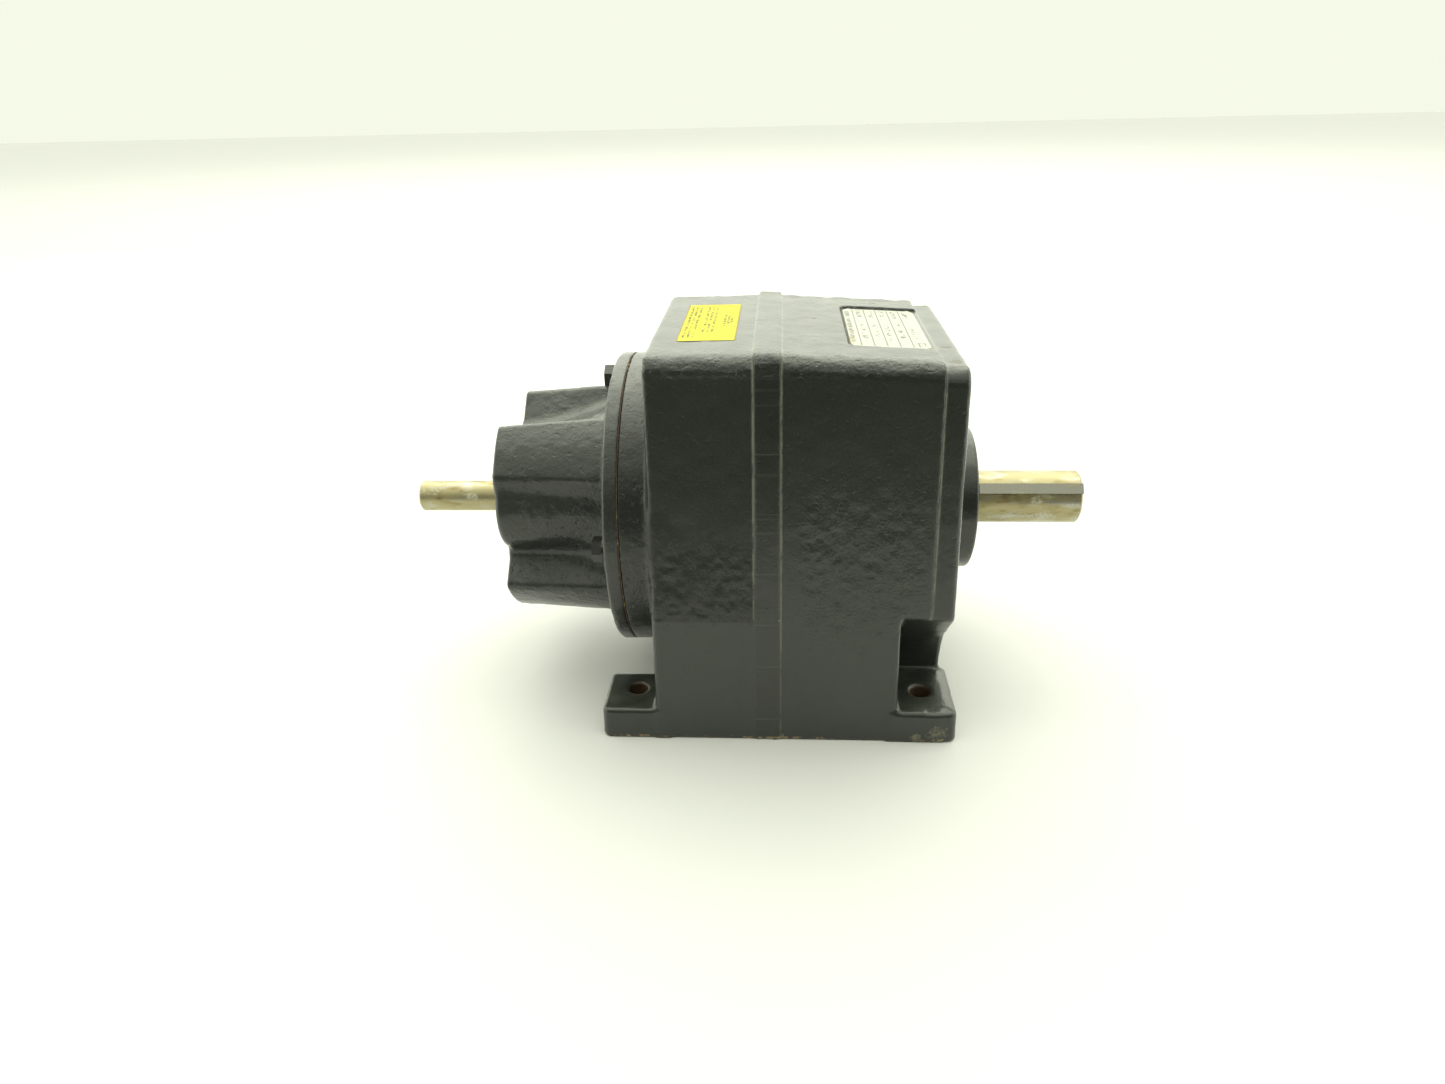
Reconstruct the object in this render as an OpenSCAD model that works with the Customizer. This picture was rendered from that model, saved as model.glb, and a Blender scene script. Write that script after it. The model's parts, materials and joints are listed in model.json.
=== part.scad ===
// Foot-mounted in-line helical gear reducer, double reduction.
// +X runs along the shafts from the input side to the output side, +Z is up.
// The origin is the centre of the foot hole pattern on the foot plane.

/* [Housing] */
// Height of the shaft line above the foot plane
shaft_h = 108.4; // [104:0.1:112]
// Length of the cast box along the shafts
box_len = 167.4; // [160:0.1:175]
// Position of the box's input end
box_x0 = -70.3; // [-74:0.1:-68]
// Half width of the box at the foot plane
base_half_w = 104.5; // [102:0.1:108]
// Inward lean of the side walls, per unit of height
side_lean = 0.0939; // [0.08:0.001:0.11]
// Height of the raised band around the box
band_top = 219.4; // [217:0.1:223]
// Wall thickness of the casting
wall = 8; // [7:0.5:9]
// Corner radius along the top edges
edge_r = 9; // [5:0.5:12]

/* [Feet] */
// Spacing of the foot holes along the shafts
hole_dx = 165.8; // [160:0.1:170]
// Spacing of the foot holes across the shafts
hole_dy = 159.4; // [150:0.1:165]
// Foot hole diameter
hole_d = 11.1; // [9:0.1:13]
// Thickness of the foot pads
pad_t = 17.9; // [15:0.1:20]
// Half length over the foot pads
pad_half_len = 101.5; // [100:0.1:104]

/* [Input bracket] */
// Radius of the bracket's flange
flange_r = 89.1; // [86:0.1:90]
// Outer face of the flange
flange_x = -96; // [-98:0.5:-94]
// Outer face of the four-lobed hub
hub_x = -162.1; // [-166:0.1:-158]
// Radius over the four lobes at the hub's outer face
lobe_r = 68; // [64:0.5:70]
// Half width of a lobe at the hub's outer face
lobe_half_w = 17.7; // [14:0.1:19]
// Radius of the flange bolt circle
bolt_circle_r = 77; // [75:0.5:79]
// Diameter of the circle of tapped holes in the lobes
lobe_pcd = 114.3; // [108:0.1:118]

/* [Shafts] */
// Diameter of the input shaft's free end
input_d = 19.05; // [18:0.01:20]
// Tip of the input shaft
input_tip_x = -226.7; // [-235:0.1:-215]
// Diameter of the output shaft's free end
output_d = 31.75; // [30:0.01:32]
// Tip of the output shaft
output_tip_x = 181.7; // [170:0.1:190]
// Outer face of the output boss
boss_x = 115.2; // [114.8:0.1:117]
// Radius of the output boss
boss_r = 43.6; // [42:0.1:46]
// Angle of the output key about the shaft, from +Y towards +Z
key_angle = 143; // [0:1:359]

/* [Gears] */
// Teeth on the input pinion
z1 = 15; // [15:1:15]
// Teeth on the first driven gear
z2 = 49; // [49:1:49]
// Teeth on the second pinion
z3 = 17; // [17:1:17]
// Teeth on the output gear
z4 = 39; // [39:1:39]
// Transverse module of the first stage
mod_a = 1.75; // [1.75:0.01:1.75]
// Transverse module of the second stage
mod_b = 2; // [2:0.01:2]
// Helix angle of both stages
helix = 15; // [10:1:18]
// Transverse pressure angle
pressure = 22; // [20:0.5:22.5]
// Thinning of each tooth at its pitch circle, for backlash
thinning = 0.3; // [0.2:0.05:0.4]

/* [Hidden] */
$fn = 96;

// places along the box
box_x1 = box_x0 + box_len;
band_x0 = -12.8;
band_x1 = 0.9;
step_x = 83.9;
body_top = band_top - 1.4;
left_top = body_top - 0.6;
step_top = band_top - 6.1;
strip_top = band_top - 9;
lip_z = 72;
ring_x = -87;
ring_r = 88.9;
opening_r = 66;
gasket_t = 0.5;
cavity_x0 = -62.3;
cavity_x1 = box_x1 - 10;
floor_t = 9;
gear_roof_z = 211;

// inward offsets of the side walls
inset_band = 1.5;
inset_left = 3.3;
inset_step = 2.4;
inset_strip = 4.5;

// bolt access pockets above the output-side feet
pocket_x = 67.5;
pocket_y = 56;
pocket_z = 38;
pocket_front_y = 95.5;
pocket_top_z = 76;

// inner web that carries one end of the countershaft and of the output shaft
web_x0 = -36;
web_x1 = -18;
web_half_w = 34;

// gear train
centre_dist = mod_a * (z1 + z2) / 2;
counter_h = shaft_h + centre_dist;
stage_a_x = -51;
stage_a_w = 18;
stage_b_x = 7;
stage_b_w = 24;

// ball bearings: [x of first face, bore r, outer r, width, ball r, balls, height of axis]
input_end = [-150, 12.5, 26, 15, 3.97, 9, shaft_h];
input_gear_end = [-100, 15, 31, 16, 4.76, 9, shaft_h];
counter_web = [-34, 10, 23.5, 14, 3.97, 8, counter_h];
counter_wall = [74, 10, 23.5, 14, 3.97, 8, counter_h];
output_web = [-35, 12.5, 26, 15, 3.97, 9, shaft_h];
output_end = [88, 17.5, 36, 17, 5.56, 9, shaft_h];

iron = [0.17, 0.19, 0.17];
steel = [0.72, 0.70, 0.62];
gear_steel = [0.55, 0.56, 0.58];
black_steel = [0.10, 0.10, 0.10];
rubber = [0.06, 0.06, 0.06];

// ---- helpers -------------------------------------------------------------

// a cylinder or cone along X
module x_cyl(x0, x1, r, r_end = undef) {
    translate([x0, 0, 0])
        rotate([0, 90, 0])
            cylinder(h = x1 - x0, r1 = r, r2 = is_undef(r_end) ? r : r_end);
}

// a ring along X
module x_ring(x0, x1, r_in, r_out) {
    difference() {
        x_cyl(x0, x1, r_out);
        x_cyl(x0 - 1, x1 + 1, r_in);
    }
}

// a flat outline drawn as (y, z), extruded along X
module x_slab(x0, x1) {
    translate([x0, 0, 0])
        rotate([90, 0, 90])
            linear_extrude(x1 - x0)
                children();
}

module on_main_axis() {
    translate([0, 0, shaft_h]) children();
}

module on_counter_axis() {
    translate([0, 0, counter_h]) children();
}

module both_sides() {
    children();
    mirror([0, 1, 0]) children();
}

// a shaft made of steps: each is [x0, x1, r]
module stepped_shaft(steps) {
    for (s = steps)
        x_cyl(s[0], s[1], s[2]);
}

// ---- cross-section of the box -------------------------------------------

lean_angle = atan(side_lean);

function side_y(z, inset) = base_half_w - side_lean * z - inset;

// right-hand half of the outline, from the foot plane to the top centre
function half_outline(inset, z0, top, r) =
    let (zc = top - r, yc = side_y(zc, inset) - r / cos(lean_angle), steps = 6)
    concat(
        [[side_y(z0, inset), z0]],
        [for (i = [0:steps])
            let (a = lean_angle + (90 - lean_angle) * i / steps)
            [yc + r * cos(a), zc + r * sin(a)]]
    );

function mirrored(points) =
    [for (i = [len(points) - 1:-1:0]) [-points[i][0], points[i][1]]];

module box_section(inset, z0, top, r) {
    half = half_outline(inset, z0, top, r);
    polygon(concat(half, mirrored(half)));
}

module tapered_box(x0, inset0, top0, x1, inset1, top1) {
    sliver = 0.01;
    hull() {
        x_slab(x0, x0 + sliver) box_section(inset0, 0, top0, edge_r);
        x_slab(x1 - sliver, x1) box_section(inset1, 0, top1, edge_r);
    }
}

// ---- housing -------------------------------------------------------------

module pocket(grow) {
    both_sides()
        x_slab(pocket_x - grow, pad_half_len + 10)
            polygon([
                [pocket_y - grow, pad_t - grow],
                [pocket_y - grow, pocket_z + grow / 2],
                [pocket_front_y - grow, pocket_top_z + grow],
                [base_half_w + 20, pocket_top_z + grow],
                [base_half_w + 20, pad_t - grow]
            ]);
}

module foot_pads() {
    for (sx = [-1, 1], sy = [-1, 1]) {
        inner_y = sx < 0 ? 61.7 : pocket_y - 4;
        x_in = sx < 0 ? -60 : 60;
        x0 = min(x_in, sx * pad_half_len);
        x1 = max(x_in, sx * pad_half_len);
        x_slab(x0, x1)
            polygon([
                [sy * inner_y, 0],
                [sy * base_half_w, 0],
                [sy * side_y(pad_t, 0.6), pad_t],
                [sy * inner_y, pad_t]
            ]);
    }
}

module outer_casting() {
    tapered_box(box_x0, inset_left, left_top, band_x0 + 1, inset_band, body_top);
    tapered_box(band_x1 - 1, inset_band, body_top, step_x, inset_step, step_top);
    tapered_box(step_x - 1, inset_strip - 0.3, strip_top + 0.5, box_x1, inset_strip, strip_top);
    x_slab(band_x0, band_x1) box_section(0, 0, band_top, edge_r);
    // thicker lower part of the input half, flush with the band
    x_slab(box_x0, band_x0 + 1)
        polygon([
            [side_y(0, 0.3), 0],
            [side_y(lip_z, 0.3), lip_z],
            [-side_y(lip_z, 0.3), lip_z],
            [-side_y(0, 0.3), 0]
        ]);
    // base slab between the feet
    x_slab(box_x0, box_x1 - 3)
        polygon([
            [side_y(0, 0), 0],
            [side_y(pad_t, 0.6), pad_t],
            [-side_y(pad_t, 0.6), pad_t],
            [-side_y(0, 0), 0]
        ]);
    foot_pads();
    on_main_axis() {
        x_cyl(ring_x, cavity_x0, ring_r);
        x_cyl(box_x1 - 20, boss_x - 2, boss_r);
        x_cyl(boss_x - 2, boss_x, boss_r, boss_r - 2);
    }
    plug_bosses();
}

plug_r = 6.6;
plug_clear = 0.05;
plug_boss_r = 13;
plug_len = 11;
// plugs on the far side: [x, height, how far the boss stands out from the centre]
fill_at = [42, 186, 89.5];
level_at = [42, 104, 96.8];
drain_at = [-50, 26, 103.6];

module plug_bosses() {
    for (p = [fill_at, level_at, drain_at])
        translate([p[0], p[2] - wall - 6, p[1]])
            rotate([-90, 0, 0])
                cylinder(h = wall + 6, r = plug_boss_r);
}

module plug_hole(p) {
    translate([p[0], p[2] - 40, p[1]])
        rotate([-90, 0, 0])
            cylinder(h = 60, r = plug_r + plug_clear);
}

module cavity() {
    difference() {
        union() {
            x_slab(cavity_x0, web_x0 + 1)
                box_section(inset_left + wall, floor_t, gear_roof_z, edge_r);
            x_slab(web_x1 - 1, step_x - 6)
                box_section(inset_left + wall, floor_t, step_top - wall, edge_r);
            x_slab(web_x0, web_x1)
                box_section(inset_left + wall, floor_t, step_top - wall, edge_r);
            x_slab(step_x - 7, cavity_x1)
                box_section(inset_strip + wall, floor_t, strip_top - wall, edge_r);
        }
        // bridge between the two gear stages
        translate([web_x0, -web_half_w, 0])
            cube([web_x1 - web_x0, 2 * web_half_w, band_top]);
        pocket(wall);
        on_counter_axis() x_cyl(counter_wall[0] - 2, box_x1, counter_wall[2] + 7);
        on_main_axis() x_cyl(output_end[0] - 2, box_x1, boss_r);
    }
}

module nameplate_recess() {
    along_top_slope(plate_x0 - 1.5, -plate_t - 1.2)
        translate([0, -plate_w / 2 - 3 + plate_y, 0])
            cube([60, plate_w + 6, 20]);
}

module housing() {
    color(iron)
        difference() {
            outer_casting();
            cavity();
            on_main_axis() x_cyl(ring_x - 1, cavity_x0 + 1, opening_r);
            pocket(0);
            nameplate_recess();
            // foot holes and the scoops that clear the bolt heads beside the input end
            for (sx = [-1, 1], sy = [-1, 1])
                translate([sx * hole_dx / 2, sy * hole_dy / 2, -1])
                    cylinder(h = pad_t + 2, d = hole_d);
            for (sy = [-1, 1])
                translate([-hole_dx / 2, sy * hole_dy / 2, pad_t])
                    cylinder(h = 34, r = 16.8);
            // relieved middle of the foot plane
            translate([-55, -75, -1])
                cube([110, 150, 3.5]);
            // tapped holes for the flange bolts
            on_main_axis()
                for (a = [0:90:270])
                    rotate([a, 0, 0])
                        translate([0, 0, bolt_circle_r])
                            x_cyl(ring_x - 1, ring_x + 18, bolt_r + 0.05);
            for (p = [fill_at, level_at, drain_at])
                plug_hole(p);
            nameplate_pin_holes();
            bearing_seats();
        }
}

// seats bored in the housing for four bearings, the ring and the seal
module bearing_seats() {
    on_main_axis() {
        x_cyl(output_web[0], web_x1 + 1, output_web[2]);
        x_cyl(web_x0 - 1, web_x1 + 1, 20);
        x_cyl(output_end[0], boss_x + 1, output_end[2]);
        x_cyl(cavity_x1 - 5, boss_x, 30);
        x_cyl(105.2, 107.4, output_end[2] + 1.6);
    }
    on_counter_axis() {
        x_cyl(web_x0 - 1, counter_web[0] + counter_web[3], counter_web[2]);
        x_cyl(web_x0 - 1, web_x1 + 1, 20);
        x_cyl(counter_wall[0] - 3, counter_wall[0] + counter_wall[3], counter_wall[2]);
        x_cyl(counter_wall[0], counter_wall[0] + counter_wall[3] + 4, 14);
    }
}

// ---- input bracket -------------------------------------------------------

lobe_draft = 0.0594;
hub_core_r = 41;
hub_growth = 19;
side_swell_r = 27;
side_swell_at = [-36, 11];
flange_t = ring_x - gasket_t - flange_x;

module lobe() {
    length = flange_x - hub_x + 1;
    grown = lobe_half_w + lobe_draft * length;
    intersection() {
        x_cyl(hub_x, flange_x + 1, lobe_r, lobe_r + lobe_draft * length);
        linear_extrude(lobe_r + 20)
            polygon([
                [hub_x, -lobe_half_w],
                [flange_x + 1, -grown],
                [flange_x + 1, grown],
                [hub_x, lobe_half_w]
            ]);
    }
}

module input_bracket() {
    color(iron)
        on_main_axis()
            difference() {
                union() {
                    x_cyl(flange_x, flange_x + 1.5, flange_r - 1.5, flange_r);
                    x_cyl(flange_x + 1.5, flange_x + flange_t, flange_r);
                    x_cyl(flange_x + flange_t, -80, opening_r - 0.1);
                    x_cyl(hub_x, flange_x + 1, hub_core_r, hub_core_r + hub_growth);
                    translate([0, side_swell_at[0], side_swell_at[1]])
                        x_cyl(hub_x, flange_x + 1, side_swell_r);
                    for (a = [45:90:315])
                        rotate([a, 0, 0]) lobe();
                }
                x_cyl(hub_x - 1, hub_x + 8.6, 20);
                x_cyl(hub_x, -100, 18);
                x_cyl(input_end[0], -80, input_end[2]);
                x_cyl(input_end[0] + 17, -80, input_end[2] + 1);
                x_cyl(input_gear_end[0], -79, input_gear_end[2]);
                x_cyl(-83.8, -82.2, input_gear_end[2] + 1.6);
                for (a = [0:90:270])
                    rotate([a, 0, 0])
                        translate([0, 0, bolt_circle_r])
                            x_cyl(flange_x - 1, flange_x + flange_t + 1, bolt_r + 0.4);
                for (a = [45:90:315])
                    rotate([a, 0, 0])
                        translate([0, 0, lobe_pcd / 2])
                            x_cyl(hub_x - 1, hub_x + 18, 4);
            }
}

module flange_gasket() {
    color([0.30, 0.20, 0.12])
        on_main_axis()
            difference() {
                x_ring(ring_x - gasket_t, ring_x, opening_r, ring_r);
                for (a = [0:90:270])
                    rotate([a, 0, 0])
                        translate([0, 0, bolt_circle_r])
                            x_cyl(ring_x - 1, ring_x + 1, bolt_r + 0.4);
            }
}

bolt_r = 3.97;
bolt_head_h = 5.3;
bolt_head_r = 7.33;
washer_t = 2;

module at_flange_bolts() {
    on_main_axis()
        for (a = [0:90:270])
            rotate([a, 0, 0])
                translate([0, 0, bolt_circle_r])
                    children();
}

module flange_bolts() {
    seat = flange_x - washer_t;
    color(black_steel)
        at_flange_bolts() {
            x_cyl(seat - 0.01, ring_x + 15, bolt_r);
            translate([seat - bolt_head_h, 0, 0])
                rotate([0, 90, 0])
                    cylinder(h = bolt_head_h, r = bolt_head_r, $fn = 6);
        }
}

module flange_lock_washers() {
    color(black_steel)
        at_flange_bolts()
            difference() {
                x_ring(flange_x - washer_t, flange_x, bolt_r + 0.2, 6.6);
                translate([flange_x - 3, 3, -0.6])
                    cube([4, 6, 1.2]);
            }
}

// ---- gears ---------------------------------------------------------------

function involute_angle(a) = tan(a) * 180 / PI - a;

// half of a tooth's angle at radius r
function tooth_half_angle(r, z, m) =
    let (pitch_r = m * z / 2, base_r = pitch_r * cos(pressure))
    90 / z - thinning / pitch_r * 90 / PI
        + involute_angle(pressure) - involute_angle(acos(min(1, base_r / r)));

// outline of one tooth, centred on angle 0
function tooth_points(z, m, turn) =
    let (
        pitch_r = m * z / 2,
        root_r = pitch_r - 1.25 * m,
        tip_r = pitch_r + m,
        start_r = max(root_r + 0.05, pitch_r * cos(pressure)),
        steps = 3,
        radii = [for (i = [0:steps]) start_r + (tip_r - start_r) * i / steps],
        half = [for (r = radii) tooth_half_angle(r, z, m)]
    )
    concat(
        [[root_r * cos(turn - half[0] - 0.6), root_r * sin(turn - half[0] - 0.6)]],
        [for (i = [0:steps]) [radii[i] * cos(turn - half[i]), radii[i] * sin(turn - half[i])]],
        [for (i = [steps:-1:0]) [radii[i] * cos(turn + half[i]), radii[i] * sin(turn + half[i])]],
        [[root_r * cos(turn + half[0] + 0.6), root_r * sin(turn + half[0] + 0.6)]]
    );

function gear_points(z, m, phase) =
    [for (k = [0:z - 1]) each tooth_points(z, m, phase + 360 * k / z)];

// a helical gear along X, centred on x; phase is its first tooth's angle from +Z at mid-width
module helical_gear(x, w, z, m, phase, hand, slices) {
    twist = hand * w * tan(helix) / (m * z / 2) * 180 / PI;
    translate([x - w / 2, 0, 0])
        rotate([0, 90, 0])
            rotate([0, 0, 180 + twist / 2])
                linear_extrude(w, twist = twist, slices = slices)
                    polygon(gear_points(z, m, phase));
}

// ---- input line ----------------------------------------------------------

pinion_a_bore = 8.5;

module input_shaft() {
    keyway_w = 4.76;
    color(steel)
        on_main_axis()
            difference() {
                stepped_shaft([
                    [input_tip_x + 1, -161, input_d / 2],
                    [-161, -152, 11],
                    [-152, -134.5, 12.5],
                    [-134.5, -100, 18],
                    [-100, -83.5, 15],
                    [-83.5, -62, 10.5],
                    [-62, -38.5, pinion_a_bore]
                ]);
                // empty keyway in the free end
                rotate([-114, 0, 0])
                    translate([input_tip_x - 1, -keyway_w / 2, input_d / 2 - 2.4])
                        cube([40, keyway_w, 5]);
            }
    color(steel)
        on_main_axis()
            difference() {
                x_cyl(input_tip_x, input_tip_x + 1, input_d / 2 - 1, input_d / 2);
                rotate([-114, 0, 0])
                    translate([input_tip_x - 1, -keyway_w / 2, input_d / 2 - 2.4])
                        cube([40, keyway_w, 5]);
            }
}

module input_pinion() {
    color(gear_steel)
        on_main_axis()
            difference() {
                helical_gear(stage_a_x, stage_a_w + 3, z1, mod_a, 0, 1, 8);
                x_cyl(stage_a_x - 30, stage_a_x + 30, pinion_a_bore);
            }
}

// a lip seal: metal-cased ring with a lip that runs just clear of its shaft
module lip_seal(x0, x1, r_shaft, r_out) {
    color(rubber)
        difference() {
            union() {
                x_ring(x0, x1, r_shaft + 2.5, r_out);
                x_ring(x0 + 1.5, x1 - 2, r_shaft + 0.08, r_shaft + 3);
            }
            // groove of the lip's garter spring
            x_ring(x0 + 1, x0 + 1.6, r_shaft + 4, r_out - 2);
        }
}

module input_seal() {
    on_main_axis() lip_seal(hub_x + 1, hub_x + 8, 11, 20);
}

module input_wave_washer() {
    color(gear_steel)
        on_main_axis() x_ring(input_end[0] + 15, input_end[0] + 16.2, 22, 25.8);
}

// an internal retaining ring with its gap and two plier eyes
module inner_retaining_ring(x0, x1, bore_r, gap_at) {
    color(black_steel)
        rotate([gap_at, 0, 0])
            difference() {
                union() {
                    x_ring(x0, x1, bore_r - 2.6, bore_r + 1.4);
                    for (s = [-1, 1])
                        rotate([s * 12, 0, 0])
                            translate([0, 0, bore_r - 3.6])
                                x_cyl(x0, x1, 3);
                }
                for (s = [-1, 1])
                    rotate([s * 12, 0, 0])
                        translate([0, 0, bore_r - 3.8])
                            x_cyl(x0 - 1, x1 + 1, 1);
                translate([x0 - 1, -3, 0])
                    cube([x1 - x0 + 2, 6, bore_r + 5]);
            }
}

module input_retaining_ring() {
    on_main_axis() inner_retaining_ring(-83.7, -82.3, input_gear_end[2], 180);
}

// ---- countershaft line ---------------------------------------------------

counter_gear_bore = 9.8;
counter_pinion_bore = 11.4;

module counter_shaft() {
    color(steel)
        on_counter_axis()
            difference() {
                stepped_shaft([
                    [-62.1, -61.6, 9],
                    [-61.6, -60.3, 8.4],
                    [-60.3, counter_web[0], counter_gear_bore],
                    [counter_web[0], counter_web[0] + counter_web[3], 10],
                    [counter_web[0] + counter_web[3], -8, 13],
                    [-8, 23, counter_pinion_bore],
                    [23, counter_wall[0], counter_pinion_bore - 0.1],
                    [counter_wall[0], 89, 10]
                ]);
                counter_key_block(0);
            }
}

module counter_key_block(shrink) {
    translate([-58, -2.5 + shrink, counter_gear_bore - 3])
        cube([14, 5 - 2 * shrink, 5]);
}

module counter_gear() {
    color(gear_steel)
        on_counter_axis()
            difference() {
                helical_gear(stage_a_x, stage_a_w, z2, mod_a, 180 + 180 / z2, -1, 3);
                x_cyl(stage_a_x - 30, stage_a_x + 30, counter_gear_bore);
                translate([stage_a_x - 30, -2.5, 0])
                    cube([60, 5, counter_gear_bore + 2.3]);
                // lightened face on each side
                x_ring(stage_a_x - 10, stage_a_x - stage_a_w / 2 + 4, 19, 35);
                x_ring(stage_a_x + stage_a_w / 2 - 4, stage_a_x + 10, 19, 35);
            }
}

module counter_gear_key() {
    color(steel)
        on_counter_axis() counter_key_block(0.02);
}

module counter_retaining_ring() {
    color(black_steel)
        on_counter_axis()
            difference() {
                x_ring(-61.5, -60.3, 8.5, 12.5);
                translate([-63, -2, -20])
                    cube([4, 4, 20]);
            }
}

module counter_spacer() {
    color(gear_steel)
        on_counter_axis()
            x_ring(stage_a_x + stage_a_w / 2, counter_web[0], counter_gear_bore, 13);
}

module counter_pinion() {
    color(gear_steel)
        on_counter_axis()
            difference() {
                helical_gear(stage_b_x, stage_b_w + 3, z3, mod_b, 180, -1, 6);
                x_cyl(stage_b_x - 30, stage_b_x + 30, counter_pinion_bore);
            }
}

// ---- output line ---------------------------------------------------------

output_gear_bore = 17;
key_w = 6.35;
key_start_x = 120;

module output_key_block(shrink) {
    rotate([key_angle - 90, 0, 0])
        translate([key_start_x, -key_w / 2 + shrink, output_d / 2 - 3.4])
            cube([output_tip_x - 0.6 - key_start_x, key_w - 2 * shrink, 6.35]);
}

module output_keyway() {
    rotate([key_angle - 90, 0, 0])
        translate([key_start_x - 2.5, -key_w / 2, output_d / 2 - 3.4])
            cube([output_tip_x + 5 - key_start_x, key_w, 10]);
}

module output_gear_key_block(shrink) {
    translate([-1, -4 + shrink, output_gear_bore - 4])
        cube([17, 8 - 2 * shrink, 7]);
}

module output_shaft() {
    color(steel)
        on_main_axis()
            difference() {
                union() {
                    stepped_shaft([
                        [-35.8, output_web[0] + output_web[3], 12.5],
                        [output_web[0] + output_web[3], -5, 15],
                        [-5, 19, output_gear_bore],
                        [19, 26, 23],
                        [26, 84, 20],
                        [84, output_end[0], 21.5],
                        [output_end[0], 113.8, 17.5],
                        [113.8, output_tip_x - 1, output_d / 2]
                    ]);
                    x_cyl(output_tip_x - 1, output_tip_x, output_d / 2, output_d / 2 - 1);
                }
                output_keyway();
                output_gear_key_block(0);
            }
}

module output_gear() {
    color(gear_steel)
        on_main_axis()
            difference() {
                helical_gear(stage_b_x, stage_b_w, z4, mod_b, 180 / z4, 1, 3);
                x_cyl(stage_b_x - 30, stage_b_x + 30, output_gear_bore);
                translate([stage_b_x - 30, -4, 0])
                    cube([60, 8, output_gear_bore + 3.3]);
                x_ring(stage_b_x - 13, stage_b_x - stage_b_w / 2 + 4, 25, 33);
                x_ring(stage_b_x + stage_b_w / 2 - 4, stage_b_x + 13, 25, 33);
            }
}

module output_gear_key() {
    color(steel)
        on_main_axis() output_gear_key_block(0.02);
}

module output_gear_spacer() {
    color(gear_steel)
        on_main_axis() x_ring(output_web[0] + output_web[3], -5, 15, 18.5);
}

module output_key() {
    color([0.60, 0.60, 0.55])
        on_main_axis() output_key_block(0.02);
}

module output_seal() {
    on_main_axis() lip_seal(107.6, 114.6, 17.5, 36);
}

module output_retaining_ring() {
    on_main_axis() inner_retaining_ring(105.3, 107.2, output_end[2], 0);
}

// ---- plugs, plate and label ---------------------------------------------

module hex_plug(p) {
    color(black_steel)
        translate([p[0], p[2] - plug_len + 0.5, p[1]])
            rotate([-90, 0, 0])
                difference() {
                    cylinder(h = plug_len, r = plug_r);
                    translate([0, 0, plug_len - 6])
                        cylinder(h = 7, r = 3.7, $fn = 6);
                }
}

module fill_plug() {
    hex_plug(fill_at);
}

module level_plug() {
    hex_plug(level_at);
}

module drain_plug() {
    hex_plug(drain_at);
}

plate_x0 = 38.5;
plate_len = 43;
plate_w = 92;
plate_y = 0;
plate_t = 0.9;
pin_r = 1.4;

// moves to the sloping top of the output half, at x, and `up` above its surface
module along_top_slope(x, up) {
    slope = atan((body_top - step_top) / (step_x - band_x1 + 1));
    z = body_top - (x - band_x1 + 1) * tan(slope);
    translate([x, 0, z])
        rotate([0, slope, 0])
            translate([0, 0, up])
                children();
}

module rounded_plate(length, width, thick, r) {
    linear_extrude(thick)
        union() {
            translate([r, -width / 2]) square([length - 2 * r, width]);
            translate([0, -width / 2 + r]) square([length, width - 2 * r]);
            for (x = [r, length - r], y = [-1, 1])
                translate([x, y * (width / 2 - r)]) circle(r = r);
        }
}

module at_pins() {
    along_top_slope(plate_x0, -plate_t - 1.2)
        for (x = [3.5, plate_len - 3.5], y = [-1, 1])
            translate([x, plate_y + y * (plate_w / 2 - 3.5), 0])
                children();
}

module nameplate() {
    color([0.80, 0.79, 0.72])
        difference() {
            along_top_slope(plate_x0, -plate_t - 1.2)
                translate([0, plate_y, 0])
                    rounded_plate(plate_len, plate_w, plate_t, 5);
            at_pins()
                translate([0, 0, -1]) cylinder(h = 5, r = pin_r + 0.05);
        }
}

module nameplate_pin_holes() {
    at_pins()
        translate([0, 0, -5]) cylinder(h = 8, r = pin_r + 0.05);
}

module nameplate_pins() {
    color(steel)
        at_pins() {
            translate([0, 0, -4]) cylinder(h = 4 + plate_t, r = pin_r);
            translate([0, 0, plate_t]) cylinder(h = 0.6, r1 = 2.2, r2 = 1.4);
        }
}

label_x0 = -55.5;
label_len = 32;
label_w = 92;
label_t = 0.2;

module caution_label() {
    slope = atan((body_top - left_top) / (band_x0 + 1 - box_x0));
    color([0.85, 0.75, 0.10])
        translate([box_x0, 0, left_top])
            rotate([0, -slope, 0])
                translate([label_x0 - box_x0, 0, 0])
                    rounded_plate(label_len, label_w, label_t, 2);
}

// ---- ball bearings -------------------------------------------------------

module bearing_at(b) {
    translate([b[0] + b[3] / 2, 0, b[6]])
        rotate([0, 90, 0])
            children();
}

function pitch_r(b) = (b[1] + b[2]) / 2;

// the ring of the raceway, cut out of both races
module raceway(b) {
    rotate_extrude()
        translate([pitch_r(b), 0])
            circle(r = b[4] + 0.06);
}

module outer_race(b) {
    shoulder = pitch_r(b) + 0.45 * b[4];
    color(gear_steel)
        bearing_at(b)
            difference() {
                cylinder(h = b[3], r = b[2], center = true);
                cylinder(h = b[3] + 1, r = shoulder, center = true);
                raceway(b);
            }
}

module inner_race(b) {
    shoulder = pitch_r(b) - 0.45 * b[4];
    color(gear_steel)
        bearing_at(b)
            difference() {
                cylinder(h = b[3], r = shoulder, center = true);
                cylinder(h = b[3] + 1, r = b[1], center = true);
                raceway(b);
            }
}

module balls(b) {
    color(steel)
        bearing_at(b)
            for (i = [0:b[5] - 1])
                rotate([0, 0, 360 * i / b[5]])
                    translate([pitch_r(b), 0, 0])
                        sphere(r = b[4]);
}

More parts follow.
